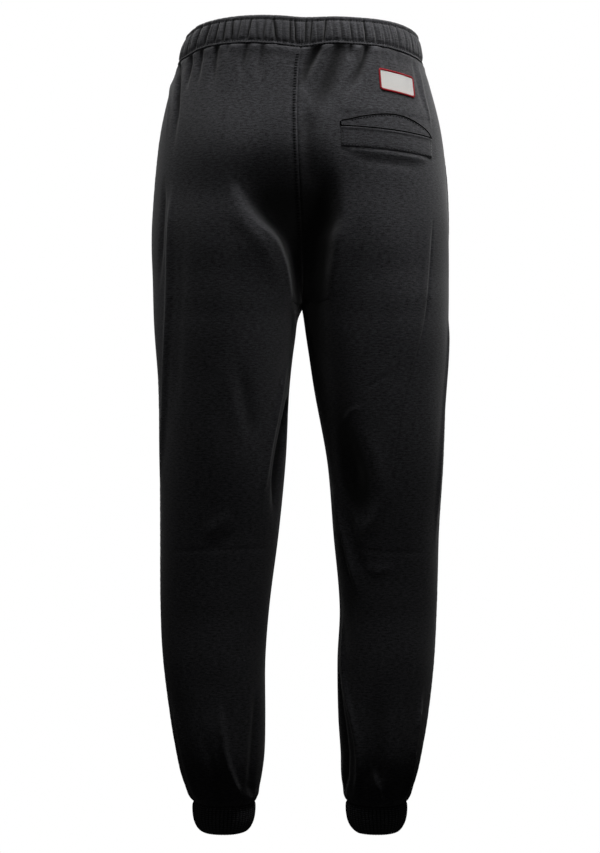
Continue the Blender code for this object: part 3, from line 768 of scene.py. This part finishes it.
rings, bandPaintedShade, wall = bandRing()
around = np.concatenate([rings[..., :3], rings[:1, :, :3]]) * mm
wallRun = np.concatenate([[0], np.cumsum(np.hypot(*np.diff(wall[:, :2], axis=0).T))])
wallRun = np.append(wallRun, wallRun[-1] + 1.0)
runs = np.concatenate([rings[..., 3], rings[:1, :, 3]])
bandUv = uvOf(np.concatenate([runs, runs[:, :1] + runs.max()], axis=1), wallRun[:, None])


def closedTube(name, points, uv):
    # a ring whose wall closes on itself: the last row lies on the first and is merged
    piece = gridMesh(name, points, uv, closed=True)
    weld = piece.modifiers.new("join", "WELD")
    weld.merge_threshold = 1e-5
    return piece


waistband = closedTube("gathered_waistband", around, bandUv)
setPaintedShade(waistband.data, np.concatenate([bandPaintedShade, bandPaintedShade[:1]]))
print("waistband", around.shape[0], "x", around.shape[1], "round", round(runs.max(), 1),
      "wall", round(wallRun[-1], 1))


# cuffs: rib knit rings, seamed to the legs, their lower edges rolling in
cuff = {
    # round the wall from the seam down the outside and up the inside: height, how far out
    "wall": [(-969.6, -3.2), (-970.6, -1.0), (-972.4, 0.6), (-976.0, 1.3), (-984.0, 1.1),
             (-993.0, -0.4), (-1000.0, -3.2), (-1004.8, -6.6), (-1007.2, -10.0),
             (-1007.6, -12.6), (-1006.0, -14.4), (-1003.0, -14.2), (-999.0, -11.6),
             (-990.0, -7.4), (-978.0, -5.4), (-971.0, -5.0)],
    "wallPoints": 40,
    "stations": 640,
    "ribs": 54,
    "ribHeight": 1.0,
    "slant": 0.35,  # ribs drift round by this many pitches over the cuff's height
}


def legStations(side, height, count):
    # points round one leg from its inner seam, with outward normals and distance
    turns = [(side, "back", False), (side, "front", True)]
    x, y, run, total = joinedSections(turns, height,
                                      lambda length: np.linspace(0, length, 500)[:-1])
    place = np.linspace(0, total, count + 1)[:-1]
    x = np.interp(place, np.append(run, total), np.append(x, x[0]))
    y = np.interp(place, np.append(run, total), np.append(y, y[0]))
    alongX, alongY = np.roll(x, -1) - np.roll(x, 1), np.roll(y, -1) - np.roll(y, 1)
    size = np.hypot(alongX, alongY) * outward[side]
    return x, y, -alongY / size, alongX / size, place, total


def cuffRing(side):
    wall = closedLoop(cuff["wall"], cuff["wallPoints"])
    x, y, nx, ny, run, total = legStations(side, -970.7, cuff["stations"])
    dice = random.Random(31 if side == "left" else 37)
    wobble = sum(dice.uniform(0.2, 0.5) * np.sin(math.tau * k * run / total + dice.uniform(0, 6))
                 for k in (2, 3, 5, 7))
    rings, paintedShades = [], []
    for k, (height, out) in enumerate(wall):
        turns = cuff["ribs"] * run / total + cuff["slant"] * (height + 989) / 38
        rib = np.abs(np.cos(math.pi * turns)) ** 0.7 - 0.6
        fromSeam = smoothStep((-970.2 - height) / 3.0)
        # painted shade in the gaps between the ribs
        paintedShades.append(0.92 * smoothStep((0.1 - rib) / 0.5) * fromSeam)
        move = out + rib * cuff["ribHeight"] * fromSeam + wobble * (out / -9.0 + 0.3)
        join = np.minimum(run, total - run)
        move = move - 0.6 * np.exp(-((join / 1.0) ** 2))
        rings.append(np.stack([x + nx * move, y + ny * move,
                               np.full(len(x), height) + 0.25 * wobble], axis=1))
    rings = np.array(rings)
    points = np.concatenate([rings, rings[:1]]) * mm
    down = np.concatenate([[0], np.cumsum(np.hypot(*np.diff(wall[:, :2], axis=0).T))])
    down = np.append(down, down[-1] + 1.0)
    across = np.broadcast_to(np.append(run, total), (len(points), len(run) + 1))
    piece = closedTube("rib_cuff_" + side, points, uvOf(across, -down[:, None]))
    setPaintedShade(piece.data, np.array(paintedShades + paintedShades[:1]))
    print(piece.name, "round", round(total, 1), "wall", round(down[-1], 1))
    return piece


cuffPieces = {side: cuffRing(side) for side in outward}
print("cuffs", cuff["stations"], "x", cuff["wallPoints"])


def surfaceTree(piece):
    mesh = piece.data
    return BVHTree.FromPolygons([v.co for v in mesh.vertices],
                                [list(p.vertices) for p in mesh.polygons])


panelTrees = {key: surfaceTree(piece) for key, piece in panelPieces.items()}


def laidPoint(key, x, z, lift, towards=(0, -1, 0)):
    # the place on a panel straight behind (x, z), lifted off the cloth along its normal
    start = Vector((x, 500, z)) if towards[1] else Vector((-towards[0] * 500, x, z))
    place, normal, _, _ = panelTrees[key].ray_cast(start * mm, Vector(towards))
    return place + normal * lift * mm, normal


pocket = {
    "inner": -49.0, "outer": -164.0, "top": -117.6, "slope": 0.057, "weltHeight": 24.5,
    "arch": [(-49, 6.7), (-62, 10.6), (-76, 14.8), (-104, 20.4), (-124, 20.9), (-140, 17.2),
             (-154, 11.2), (-160, 6.6), (-163.6, 0.8)],
    "weltLift": 1.7, "facingLift": 0.9, "cell": 0.8,
}


def weltTop(x):
    return pocket["top"] + (x - pocket["inner"]) * pocket["slope"]


def archTop(x):
    rows = pocket["arch"]
    return weltTop(x) + float(np.interp(-x, [-r[0] for r in rows], [r[1] for r in rows]))


def laidGrid(name, key, xs, zOf, rowCount, liftOf):
    # a strip laid on a panel: zOf gives its top and bottom at each place along it
    points = np.zeros((rowCount, len(xs), 3))
    uv = np.zeros((rowCount, len(xs), 2))
    for j, x in enumerate(xs):
        top, bottom = zOf(x)
        for i in range(rowCount):
            down = i / (rowCount - 1)
            z = top + (bottom - top) * down
            place, _ = laidPoint(key, x, z, liftOf(j / (len(xs) - 1), down))
            points[i, j] = place
            uv[i, j] = (x * mm, z * mm)
    return gridMesh(name, points, uv, flip=True)


def weltLift(along, down):
    # folded edge at the top, stitched down along the bottom and the two ends
    width = pocket["inner"] - pocket["outer"]
    near = min((1 - down) * pocket["weltHeight"], (1 - along) * width, along * width)
    lift = pocket["weltLift"] - 1.15 * math.exp(-((near / 1.1) ** 2))
    lift -= 0.35 * math.exp(-(((near - 2.6) / 0.7) ** 2))
    return lift + 0.7 * math.exp(-(((down * pocket["weltHeight"] - 1.3) / 1.6) ** 2))


def facingLift(along, down):
    return pocket["facingLift"] + 0.25 * math.sin(along * 23) * down


width = pocket["inner"] - pocket["outer"]
pocketXs = np.linspace(pocket["inner"], pocket["outer"], int(width / pocket["cell"]) + 1)
weltPiece = laidGrid("back_pocket_welt_strip", ("right", "back"), pocketXs,
                     lambda x: (weltTop(x), weltTop(x) - pocket["weltHeight"]), 34, weltLift)
giveThickness(weltPiece, 1.0)
facingPiece = laidGrid("back_pocket_mouth_facing", ("right", "back"), pocketXs,
                       lambda x: (archTop(x), weltTop(x) - 1.5), 26, facingLift)
giveThickness(facingPiece, 0.8)
print("pocket laid on")

sidePocket = {"top": -76.0, "bottom": -250.0, "near": -4.0, "width": 12.0, "lift": 1.2}


def sidePocketPiece(side):
    depths = np.linspace(sidePocket["near"], sidePocket["near"] - sidePocket["width"], 16)
    heights = np.linspace(sidePocket["top"], sidePocket["bottom"], 120)
    points = np.zeros((len(heights), len(depths), 3))
    uv = np.zeros((len(heights), len(depths), 2))
    for i, z in enumerate(heights):
        for j, y in enumerate(depths):
            along = (z - sidePocket["bottom"]) / (sidePocket["top"] - sidePocket["bottom"])
            edge = min(along, 1 - along) * (sidePocket["top"] - sidePocket["bottom"])
            across = (y - sidePocket["near"]) / -sidePocket["width"]
            lift = sidePocket["lift"] * smoothStep(edge / 5) + 0.25
            lift -= 0.5 * math.exp(-(((across * sidePocket["width"] - 6.5) / 0.8) ** 2))
            place, _ = laidPoint((side, "front"), y, z, lift, (-outward[side], 0, 0))
            points[i, j] = place
            uv[i, j] = (y * mm, z * mm)
    piece = gridMesh("side_pocket_edge_" + side, points, uv, flip=side == "right")
    return giveThickness(piece, 1.0)


sidePocketPieces = {side: sidePocketPiece(side) for side in outward}

patch = {
    "centre": (-119.1, -57.8), "size": (43.0, 26.0), "slope": 0.13, "lean": 0.08,
    "cell": 0.8, "lift": 0.9, "cloth": 0.7,
    "border": (1.25, 0.7),  # half width and half thickness of the overlocked edge
    "borderStep": 0.3, "corner": 1.6,
}


def patchPlace(aside, drop):
    # a place on the patch from its centre, in mm across and down
    x = patch["centre"][0] - aside - drop * patch["lean"]
    z = patch["centre"][1] - drop - aside * patch["slope"]
    return x, z


def patchPiece():
    w, h = patch["size"]
    columns, rows = int(w / patch["cell"]), int(h / patch["cell"])
    points = np.zeros((rows + 1, columns + 1, 3))
    uv = np.zeros((rows + 1, columns + 1, 2))
    for i in range(rows + 1):
        for j in range(columns + 1):
            aside, drop = (j / columns - 0.5) * w, (i / rows - 0.5) * h
            puff = 0.25 * math.cos(aside / w * math.pi) * math.cos(drop / h * math.pi)
            place, _ = laidPoint(("right", "back"), *patchPlace(aside, drop),
                                 patch["lift"] + puff)
            points[i, j] = place
            uv[i, j] = (aside * mm, -drop * mm)
    return giveThickness(gridMesh("woven_patch", points, uv, flip=True), patch["cloth"])


patchCloth = patchPiece()
print("patch laid on")


def tubeAlong(points, radius, sides=8, closed=False, twist=None, flat=1.0):
    # a cord through points with their normals; twist = (pitch, height) wraps thread on it, and
    # flat presses it down
    places = np.array([tuple(p) for p, _ in points])
    normals = np.array([tuple(n) for _, n in points])
    along = np.roll(places, -1, axis=0) - np.roll(places, 1, axis=0)
    if not closed:
        along[0], along[-1] = places[1] - places[0], places[-1] - places[-2]
    along /= np.linalg.norm(along, axis=1)[:, None]
    across = np.cross(along, normals)
    across /= np.linalg.norm(across, axis=1)[:, None]
    up = np.cross(across, along)
    run = np.concatenate([[0], np.cumsum(np.linalg.norm(np.diff(places, axis=0), axis=1))])
    angles = np.linspace(0, math.tau, sides + 1)
    size = np.full((len(places), sides + 1), radius * mm)
    if twist:
        pitch, height = twist
        wrap = run[:, None] / (pitch * mm) + angles[None, :] / math.tau
        size = size + height * mm * (np.abs(np.sin(math.pi * wrap)) - 0.5)
    if not closed:
        size[[0, -1]] *= 0.05
    rings = (places[:, None] + size[..., None] * (np.cos(angles)[None, :, None] * across[:, None]
             + flat * np.sin(angles)[None, :, None] * up[:, None]))
    uv = np.stack(np.broadcast_arrays(run[:, None], angles[None, :] * radius * mm), axis=2)
    if closed:
        rings = np.concatenate([rings, rings[:1]])
        uv = np.concatenate([uv, uv[:1] + [[run[-1], 0]]])
    return rings, uv


def pathPoints(key, path, spacing, lift):
    # evenly spaced points with normals, laid on a panel along a path of (x, z)
    path = np.asarray(path, float)
    total = np.linalg.norm(np.diff(path, axis=0), axis=1).sum()
    return [laidPoint(key, x, z, lift) for x, z in smoothPath(path, int(total / spacing) + 2)]


def joinedMesh(name, grids):
    # several grids as one mesh
    verts, faces, uvs, begun = [], [], [], 0
    for rings, uv in grids:
        rows, columns = rings.shape[:2]
        i, j = np.meshgrid(np.arange(rows - 1), np.arange(columns - 1), indexing="ij")
        index = begun + i * columns + j
        quads = np.stack([index, index + 1, index + columns + 1, index + columns], axis=2)
        faces.append(quads.reshape(-1, 4))
        verts.append(rings.reshape(-1, 3))
        flat = uv.reshape(-1, 2)
        uvs.append(flat[(quads - begun).reshape(-1)])
        begun += rows * columns
    return newPiece(name, np.concatenate(verts), np.concatenate(faces).tolist(),
                    np.concatenate(uvs))


thread = {"pitch": 3.7, "length": 2.3, "radius": 0.42, "sunk": 0.12, "spacing": 0.46}
shadowCord = {"spacing": 0.8, "archRadius": 0.75, "archLift": 0.9, "mouthRadius": 0.9,
           "mouthLift": 1.6}


def stitchGrids(points):
    # short threads along evenly spaced points, their ends going into the cloth
    radius = thread["radius"]
    step = round(thread["pitch"] / thread["spacing"])
    count = round(thread["length"] / thread["spacing"])
    grids = []
    for begin in range(0, len(points) - count, step):
        chosen = points[begin:begin + count + 1]
        sunk = [(p - n * mm * (0.0 if 0 < k < count else radius + thread["sunk"]), n)
                for k, (p, n) in enumerate(chosen)]
        grids.append(tubeAlong(sunk, radius, sides=6))
    return grids


def patchOutline():
    # round the patch from its centre, in small steps that leave the corners rounded
    w, h = patch["size"]
    corners = [(-w / 2, -h / 2), (w / 2, -h / 2), (w / 2, h / 2), (-w / 2, h / 2)]
    steps = []
    for start, end in zip(corners, corners[1:] + corners[:1]):
        run = math.dist(start, end)
        count = int(run / patch["borderStep"])
        for k in range(count):
            t = (patch["corner"] + (run - 2 * patch["corner"]) * k / count) / run
            steps.append((start[0] + (end[0] - start[0]) * t, start[1] + (end[1] - start[1]) * t))
    return steps


# merrowed border: thread wrapped round the patch's edge, close set
borderPoints = [laidPoint(("right", "back"), *patchPlace(aside, drop), patch["lift"])
                for aside, drop in patchOutline()]
wide, thick = patch["border"]
patchBorder = joinedMesh("patch_border", [tubeAlong(borderPoints, wide, 14, closed=True,
                                                    twist=(1.0, 0.2), flat=thick / wide)])

# painted shadow: near-black cords along the pocket's mouth and round its facing, put where the
# gap there lies in shade
archPath = [(x, archTop(x)) for x, _ in pocket["arch"]]
archPath = [(pocket["inner"], weltTop(pocket["inner"]) + 1.0)] + archPath
mouthPath = [(x, weltTop(x) + 1.0) for x in (pocket["inner"], -80, -110, -140, -163.8)]
shadowCords = [tubeAlong(pathPoints(("right", "back"), path, shadowCord["spacing"],
                                 shadowCord[part + "Lift"]), shadowCord[part + "Radius"])
            for part, path in (("arch", archPath), ("mouth", mouthPath))]
pocketShadowCords = joinedMesh("pocket_shadow_cords", shadowCords)

# rows of stitches on the pocket, each with its lift off the seat
pocketRows = [
    ([(x, weltTop(x) - 22.6) for x in (-163.0, -110, -50.5)], 1.35),
    ([(-51.2, weltTop(-51) - 1.5), (-51.6, weltTop(-51) - 22.0)], 1.35),
    ([(-162.0, weltTop(-162) - 2.0), (-162.4, weltTop(-162) - 21.8)], 1.35),
    ([(x, archTop(x) - 2.4) for x, _ in pocket["arch"][1:-2]], 1.0),
]
grids = []
for row, lift in pocketRows:
    grids += stitchGrids(pathPoints(("right", "back"), row, thread["spacing"], lift))
pocketStitches = joinedMesh("pocket_stitches", grids)

# a coverstitch beside the seat seam: short threads across it, one above another
coverstitch = {"top": -26.0, "bottom": -250.0, "pitch": 3.4, "lift": 0.12, "radius": 0.5,
               "places": (1.4, 2.4, 3.6, 4.8, 5.8)}  # from the seam
grids = []
for z in np.arange(coverstitch["top"], coverstitch["bottom"], -coverstitch["pitch"]):
    seamX = float(bodyColumn("leftInner", [z], "trunk")[0])
    across = [laidPoint(("left", "back"), seamX + x, z, coverstitch["lift"])
              for x in coverstitch["places"]]
    grids.append(tubeAlong(across, coverstitch["radius"], sides=6))
seamStitches = joinedMesh("seat_seam_stitches", grids)

# three rows round the waistband
stitchHeights = {"top": 13.3, "upper": -13.6, "lower": -17.9}
grids = []
for height in stitchHeights.values():
    outside = np.arange(len(wall) * 2 // 3)
    k = outside[np.argmin(np.abs(wall[outside, 0] - height))]
    looped = np.concatenate([rings[k][:, :3], rings[k][:1, :3]])
    run = np.concatenate([[0], np.cumsum(np.linalg.norm(np.diff(looped, axis=0), axis=1))])
    places = np.arange(0, run[-1], thread["spacing"])
    at = np.stack([np.interp(places, run, looped[:, i]) for i in range(3)], axis=1)
    tangent = np.gradient(at, axis=0)
    points = [(Vector(p * mm) + Vector((t[1], -t[0], 0)).normalized() * 0.15 * mm,
               Vector((t[1], -t[0], 0)).normalized()) for p, t in zip(at, tangent)]
    grids += stitchGrids(points)
bandStitches = joinedMesh("waistband_stitches", grids)
print("stitches", len(bandStitches.data.polygons) + len(pocketStitches.data.polygons))


def clothNodes(name, sheen, roughness):
    material = bpy.data.materials.new(name)
    material.use_nodes = True
    tree = material.node_tree
    shader = tree.nodes["Principled BSDF"]
    shader.inputs["Roughness"].default_value = roughness
    shader.inputs["IOR"].default_value = 1.5
    shader.inputs["Specular IOR Level"].default_value = 0.25
    shader.inputs["Sheen Weight"].default_value = sheen
    shader.inputs["Sheen Roughness"].default_value = 0.45
    uv = addNode(tree, "ShaderNodeUVMap", {"uv_map": "cloth"})
    return material, tree, shader, uv.outputs["UV"]


def paintCreaseShade(tree, shader, tone):
    # painted shade: darkens the base colour of deep creases by their stored shade, further than
    # the lamps alone would
    down = addNode(tree, "ShaderNodeAttribute", {"attribute_name": "shade"})
    shaded = addNode(tree, "ShaderNodeMix", {"data_type": "RGBA", 7: linearColour("#010101")},
                     {0: down.outputs["Fac"], 6: tone.outputs[0]})
    tree.links.new(shaded.outputs[2], shader.inputs["Base Color"])


def fleeceMaterial():
    # cotton sweatshirt fleece, dyed black, knitted with a brushed inside: the fine knit shows as
    # a grey speckle in short level streaks, and loose fibres give a faint halo at the edges
    material, tree, shader, uv = clothNodes("black sweatshirt fleece", 0.28, 0.9)
    level = addNode(tree, "ShaderNodeMapping", {"Scale": (0.3, 1.0, 1.0)}, {"Vector": uv})
    streaks = addNode(tree, "ShaderNodeTexNoise", {"Scale": 560.0, "Detail": 2.0,
                      "Roughness": 0.7}, {"Vector": level.outputs[0]})
    speckle = addNode(tree, "ShaderNodeTexNoise", {"Scale": 760.0, "Detail": 2.0,
                      "Roughness": 0.6}, {"Vector": uv})
    both = addNode(tree, "ShaderNodeMix", {"data_type": "FLOAT", 0: 0.38},
                   {2: streaks.outputs[0], 3: speckle.outputs[0]})
    cloud = addNode(tree, "ShaderNodeTexNoise", {"Scale": 38.0, "Detail": 2.0}, {"Vector": uv})
    mixed = addNode(tree, "ShaderNodeMix", {"data_type": "FLOAT", 0: 0.06},
                    {2: both.outputs[0], 3: cloud.outputs[0]})
    tone = addNode(tree, "ShaderNodeValToRGB", None, {"Fac": mixed.outputs[0]})
    tone.color_ramp.elements[0].position = 0.34
    tone.color_ramp.elements[0].color = linearColour("#101011")
    tone.color_ramp.elements[1].position = 0.64
    tone.color_ramp.elements[1].color = linearColour("#525256")
    # painted shade in the creases and hollows
    paintCreaseShade(tree, shader, tone)
    # drawn at about 1.8 mm, coarser than the real 0.5 mm knit, which would be too fine to see
    bump = addNode(tree, "ShaderNodeBump", {"Strength": 0.6, "Distance": 0.0007},
                   {"Height": both.outputs[0]})
    tree.links.new(bump.outputs[0], shader.inputs["Normal"])
    return material


def ribMaterial():
    # cotton rib knit with elastane, dyed black: rows of small loops that run round the cuff
    material, tree, shader, uv = clothNodes("black rib knit", 0.2, 0.92)
    rows = addNode(tree, "ShaderNodeTexWave", {"bands_direction": "Y", "Scale": 120.0,
                   "Distortion": 2.5, "Detail": 2.0, "Detail Scale": 3.0}, {"Vector": uv})
    speckle = addNode(tree, "ShaderNodeTexNoise", {"Scale": 700.0, "Detail": 2.0}, {"Vector": uv})
    mixed = addNode(tree, "ShaderNodeMix", {"data_type": "FLOAT", 0: 0.5},
                    {2: rows.outputs["Fac"], 3: speckle.outputs[0]})
    tone = addNode(tree, "ShaderNodeValToRGB", None, {"Fac": mixed.outputs[0]})
    tone.color_ramp.elements[0].position = 0.25
    tone.color_ramp.elements[0].color = linearColour("#222224")
    tone.color_ramp.elements[1].position = 0.8
    tone.color_ramp.elements[1].color = linearColour("#717175")
    # painted shade between the ribs
    paintCreaseShade(tree, shader, tone)
    bump = addNode(tree, "ShaderNodeBump", {"Strength": 0.6, "Distance": 0.0006},
                   {"Height": mixed.outputs[0]})
    tree.links.new(bump.outputs[0], shader.inputs["Normal"])
    return material


def wovenMaterial():
    # polyester label satin, woven close: off-white with a soft sheen and fine level ribs
    material, tree, shader, uv = clothNodes("white woven label", 0.1, 0.55)
    weft = addNode(tree, "ShaderNodeTexWave", {"bands_direction": "Y", "Scale": 330.0,
                   "Distortion": 0.4}, {"Vector": uv})
    warp = addNode(tree, "ShaderNodeTexWave", {"bands_direction": "X", "Scale": 300.0,
                   "Distortion": 0.4}, {"Vector": uv})
    mixed = addNode(tree, "ShaderNodeMix", {"data_type": "FLOAT", 0: 0.4},
                    {2: weft.outputs["Fac"], 3: warp.outputs["Fac"]})
    tone = addNode(tree, "ShaderNodeValToRGB", None, {"Fac": mixed.outputs[0]})
    tone.color_ramp.elements[0].color = linearColour("#c9c7c4")
    tone.color_ramp.elements[1].color = linearColour("#f1efec")
    tree.links.new(tone.outputs[0], shader.inputs["Base Color"])
    bump = addNode(tree, "ShaderNodeBump", {"Strength": 0.35, "Distance": 0.0002},
                   {"Height": mixed.outputs[0]})
    tree.links.new(bump.outputs[0], shader.inputs["Normal"])
    return material


def threadMaterial(name, low, high, sheen, specular):
    # spun polyester thread: small fibres catch the light along it
    material, tree, shader, uv = clothNodes(name, sheen, 0.7)
    shader.inputs["Specular IOR Level"].default_value = specular
    fibres = addNode(tree, "ShaderNodeTexNoise", {"Scale": 900.0, "Detail": 2.0}, {"Vector": uv})
    tone = addNode(tree, "ShaderNodeValToRGB", None, {"Fac": fibres.outputs[0]})
    tone.color_ramp.elements[0].position = 0.3
    tone.color_ramp.elements[0].color = linearColour(low)
    tone.color_ramp.elements[1].position = 0.75
    tone.color_ramp.elements[1].color = linearColour(high)
    tree.links.new(tone.outputs[0], shader.inputs["Base Color"])
    bump = addNode(tree, "ShaderNodeBump", {"Strength": 0.3, "Distance": 0.0002},
                   {"Height": fibres.outputs[0]})
    tree.links.new(bump.outputs[0], shader.inputs["Normal"])
    return material


fleece = fleeceMaterial()
rib = ribMaterial()
woven = wovenMaterial()
# black thread for the stitches, and also the black of the painted shadow cords at the pocket
blackThreadAndShadowCord = threadMaterial("black thread and shadow cord", "#030303", "#0b0b0b", 0.0, 0.04)
redThread = threadMaterial("red overlock thread", "#7c101a", "#bf1f2b", 0.1, 0.2)
print("materials made")


def setPiece(piece, material, slot, *nodes):
    piece.data.materials.append(material)
    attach(piece, "root")
    if nodes:
        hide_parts(*nodes)


for (side, face), piece in panelPieces.items():
    setPiece(piece, fleece, "fleece", f"{face}_{side}_leg")
setPiece(waistband, fleece, "fleece", "waistband")
for side, piece in cuffPieces.items():
    setPiece(piece, rib, "rib", "cuff_" + side)
for side, piece in sidePocketPieces.items():
    setPiece(piece, fleece, "fleece", "side_pocket_" + side)
setPiece(weltPiece, fleece, "fleece", "back_pocket_welt")
setPiece(facingPiece, fleece, "fleece", "back_pocket_facing")
setPiece(patchCloth, woven, "patch", "back_patch")
setPiece(patchBorder, redThread, "patch")
# painted shadow cords at the pocket's mouth and arch
setPiece(pocketShadowCords, blackThreadAndShadowCord, "fleece")
for piece in (pocketStitches, seamStitches, bandStitches):
    setPiece(piece, blackThreadAndShadowCord, "fleece")


creaseShare = 1.03  # the panels are cut this much larger than the form they cover


def panelArea(side, face):
    # from the widths of all its rows, with what the creases take up
    widths, heights = panelGrids[side, face]["length"] * mm, panelGrids[side, face]["z"] * mm
    return float(np.sum((widths[1:] + widths[:-1]) / 2 * -np.diff(heights))) * creaseShare


for (side, face), piece in panelPieces.items():
    print(piece.name, "widest", round(panelGrids[side, face]["length"].max(), 1),
          "area", round(panelArea(side, face), 4))


camera = bpy.data.objects.new("camera", bpy.data.cameras.new("camera"))
camera.data.lens = 79.76
camera.data.sensor_width = 36
camera.location = (0.0013, 2.457, -0.4856)
camera.rotation_euler = (math.radians(90), 0, math.radians(180))
bpy.context.scene.collection.objects.link(camera)
bpy.context.scene.camera = camera


def softbox(name, place, aim, size, power, spread=180):
    lamp = bpy.data.lights.new(name, "AREA")
    lamp.shape = "RECTANGLE"
    lamp.size, lamp.size_y = size
    lamp.energy = power
    lamp.spread = math.radians(spread)  # a grid narrows it
    light = bpy.data.objects.new(name, lamp)
    light.location = place
    light.rotation_euler = (Vector(aim) - Vector(place)).to_track_quat("-Z", "Y").to_euler()
    bpy.context.scene.collection.objects.link(light)


softbox("overhead right", (-0.27, 0.25, 0.85), (0, 0.05, -0.15), (0.6, 0.5), 10.8)
softbox("overhead left", (0.3, 0.25, 0.85), (0, 0.05, -0.15), (0.6, 0.5), 2.3)
softbox("left side", (0.8, 0.0, -0.2), (0, 0.05, -0.2), (0.35, 0.6), 0.17, 80)
softbox("right back", (-1.0, 1.1, 0.6), (-0.1, 0.05, -0.15), (0.35, 0.35), 0.155, 30)
softbox("thighs", (-0.35, 1.1, 0.1), (-0.1, 0.05, -0.4), (0.35, 0.35), 0.045, 30)
softbox("front", (0.3, -0.9, 0.8), (0, -0.05, -0.3), (0.8, 0.7), 4.0)

# the backdrop is white to the camera but gives the cloth hardly any light
world = bpy.data.worlds.new("studio")
world.use_nodes = True
bpy.context.scene.world = world
tree = world.node_tree
background = tree.nodes["Background"]
ray = addNode(tree, "ShaderNodeLightPath")
strength = addNode(tree, "ShaderNodeMix", {"data_type": "FLOAT", 2: 0.015, 3: 1.0},
                   {0: ray.outputs["Is Camera Ray"]})
tree.links.new(strength.outputs[0], background.inputs["Strength"])
background.inputs["Color"].default_value = (1, 1, 1, 1)

bpy.ops.mesh.primitive_plane_add(size=40, location=(0, 0, -1.1))
floor = bpy.context.object
floor.name = "floor"
floor.visible_diffuse = False  # the paper glows, but lights nothing
floor.visible_glossy = False
paper = bpy.data.materials.new("white paper")
paper.use_nodes = True
paperTree = paper.node_tree
paperTree.nodes.clear()
grain = addNode(paperTree, "ShaderNodeTexNoise", {"Scale": 40.0})
shade = addNode(paperTree, "ShaderNodeMix", {"data_type": "FLOAT", 2: 0.999, 3: 1.0},
                {0: grain.outputs[0]})
glow = addNode(paperTree, "ShaderNodeEmission", None, {"Strength": shade.outputs[0]})
addNode(paperTree, "ShaderNodeOutputMaterial", None, {"Surface": glow.outputs[0]})
floor.data.materials.append(paper)

scene = bpy.context.scene
scene.view_settings.view_transform = "Standard"
scene.view_settings.look = "None"
print("camera, lamps and stage set")
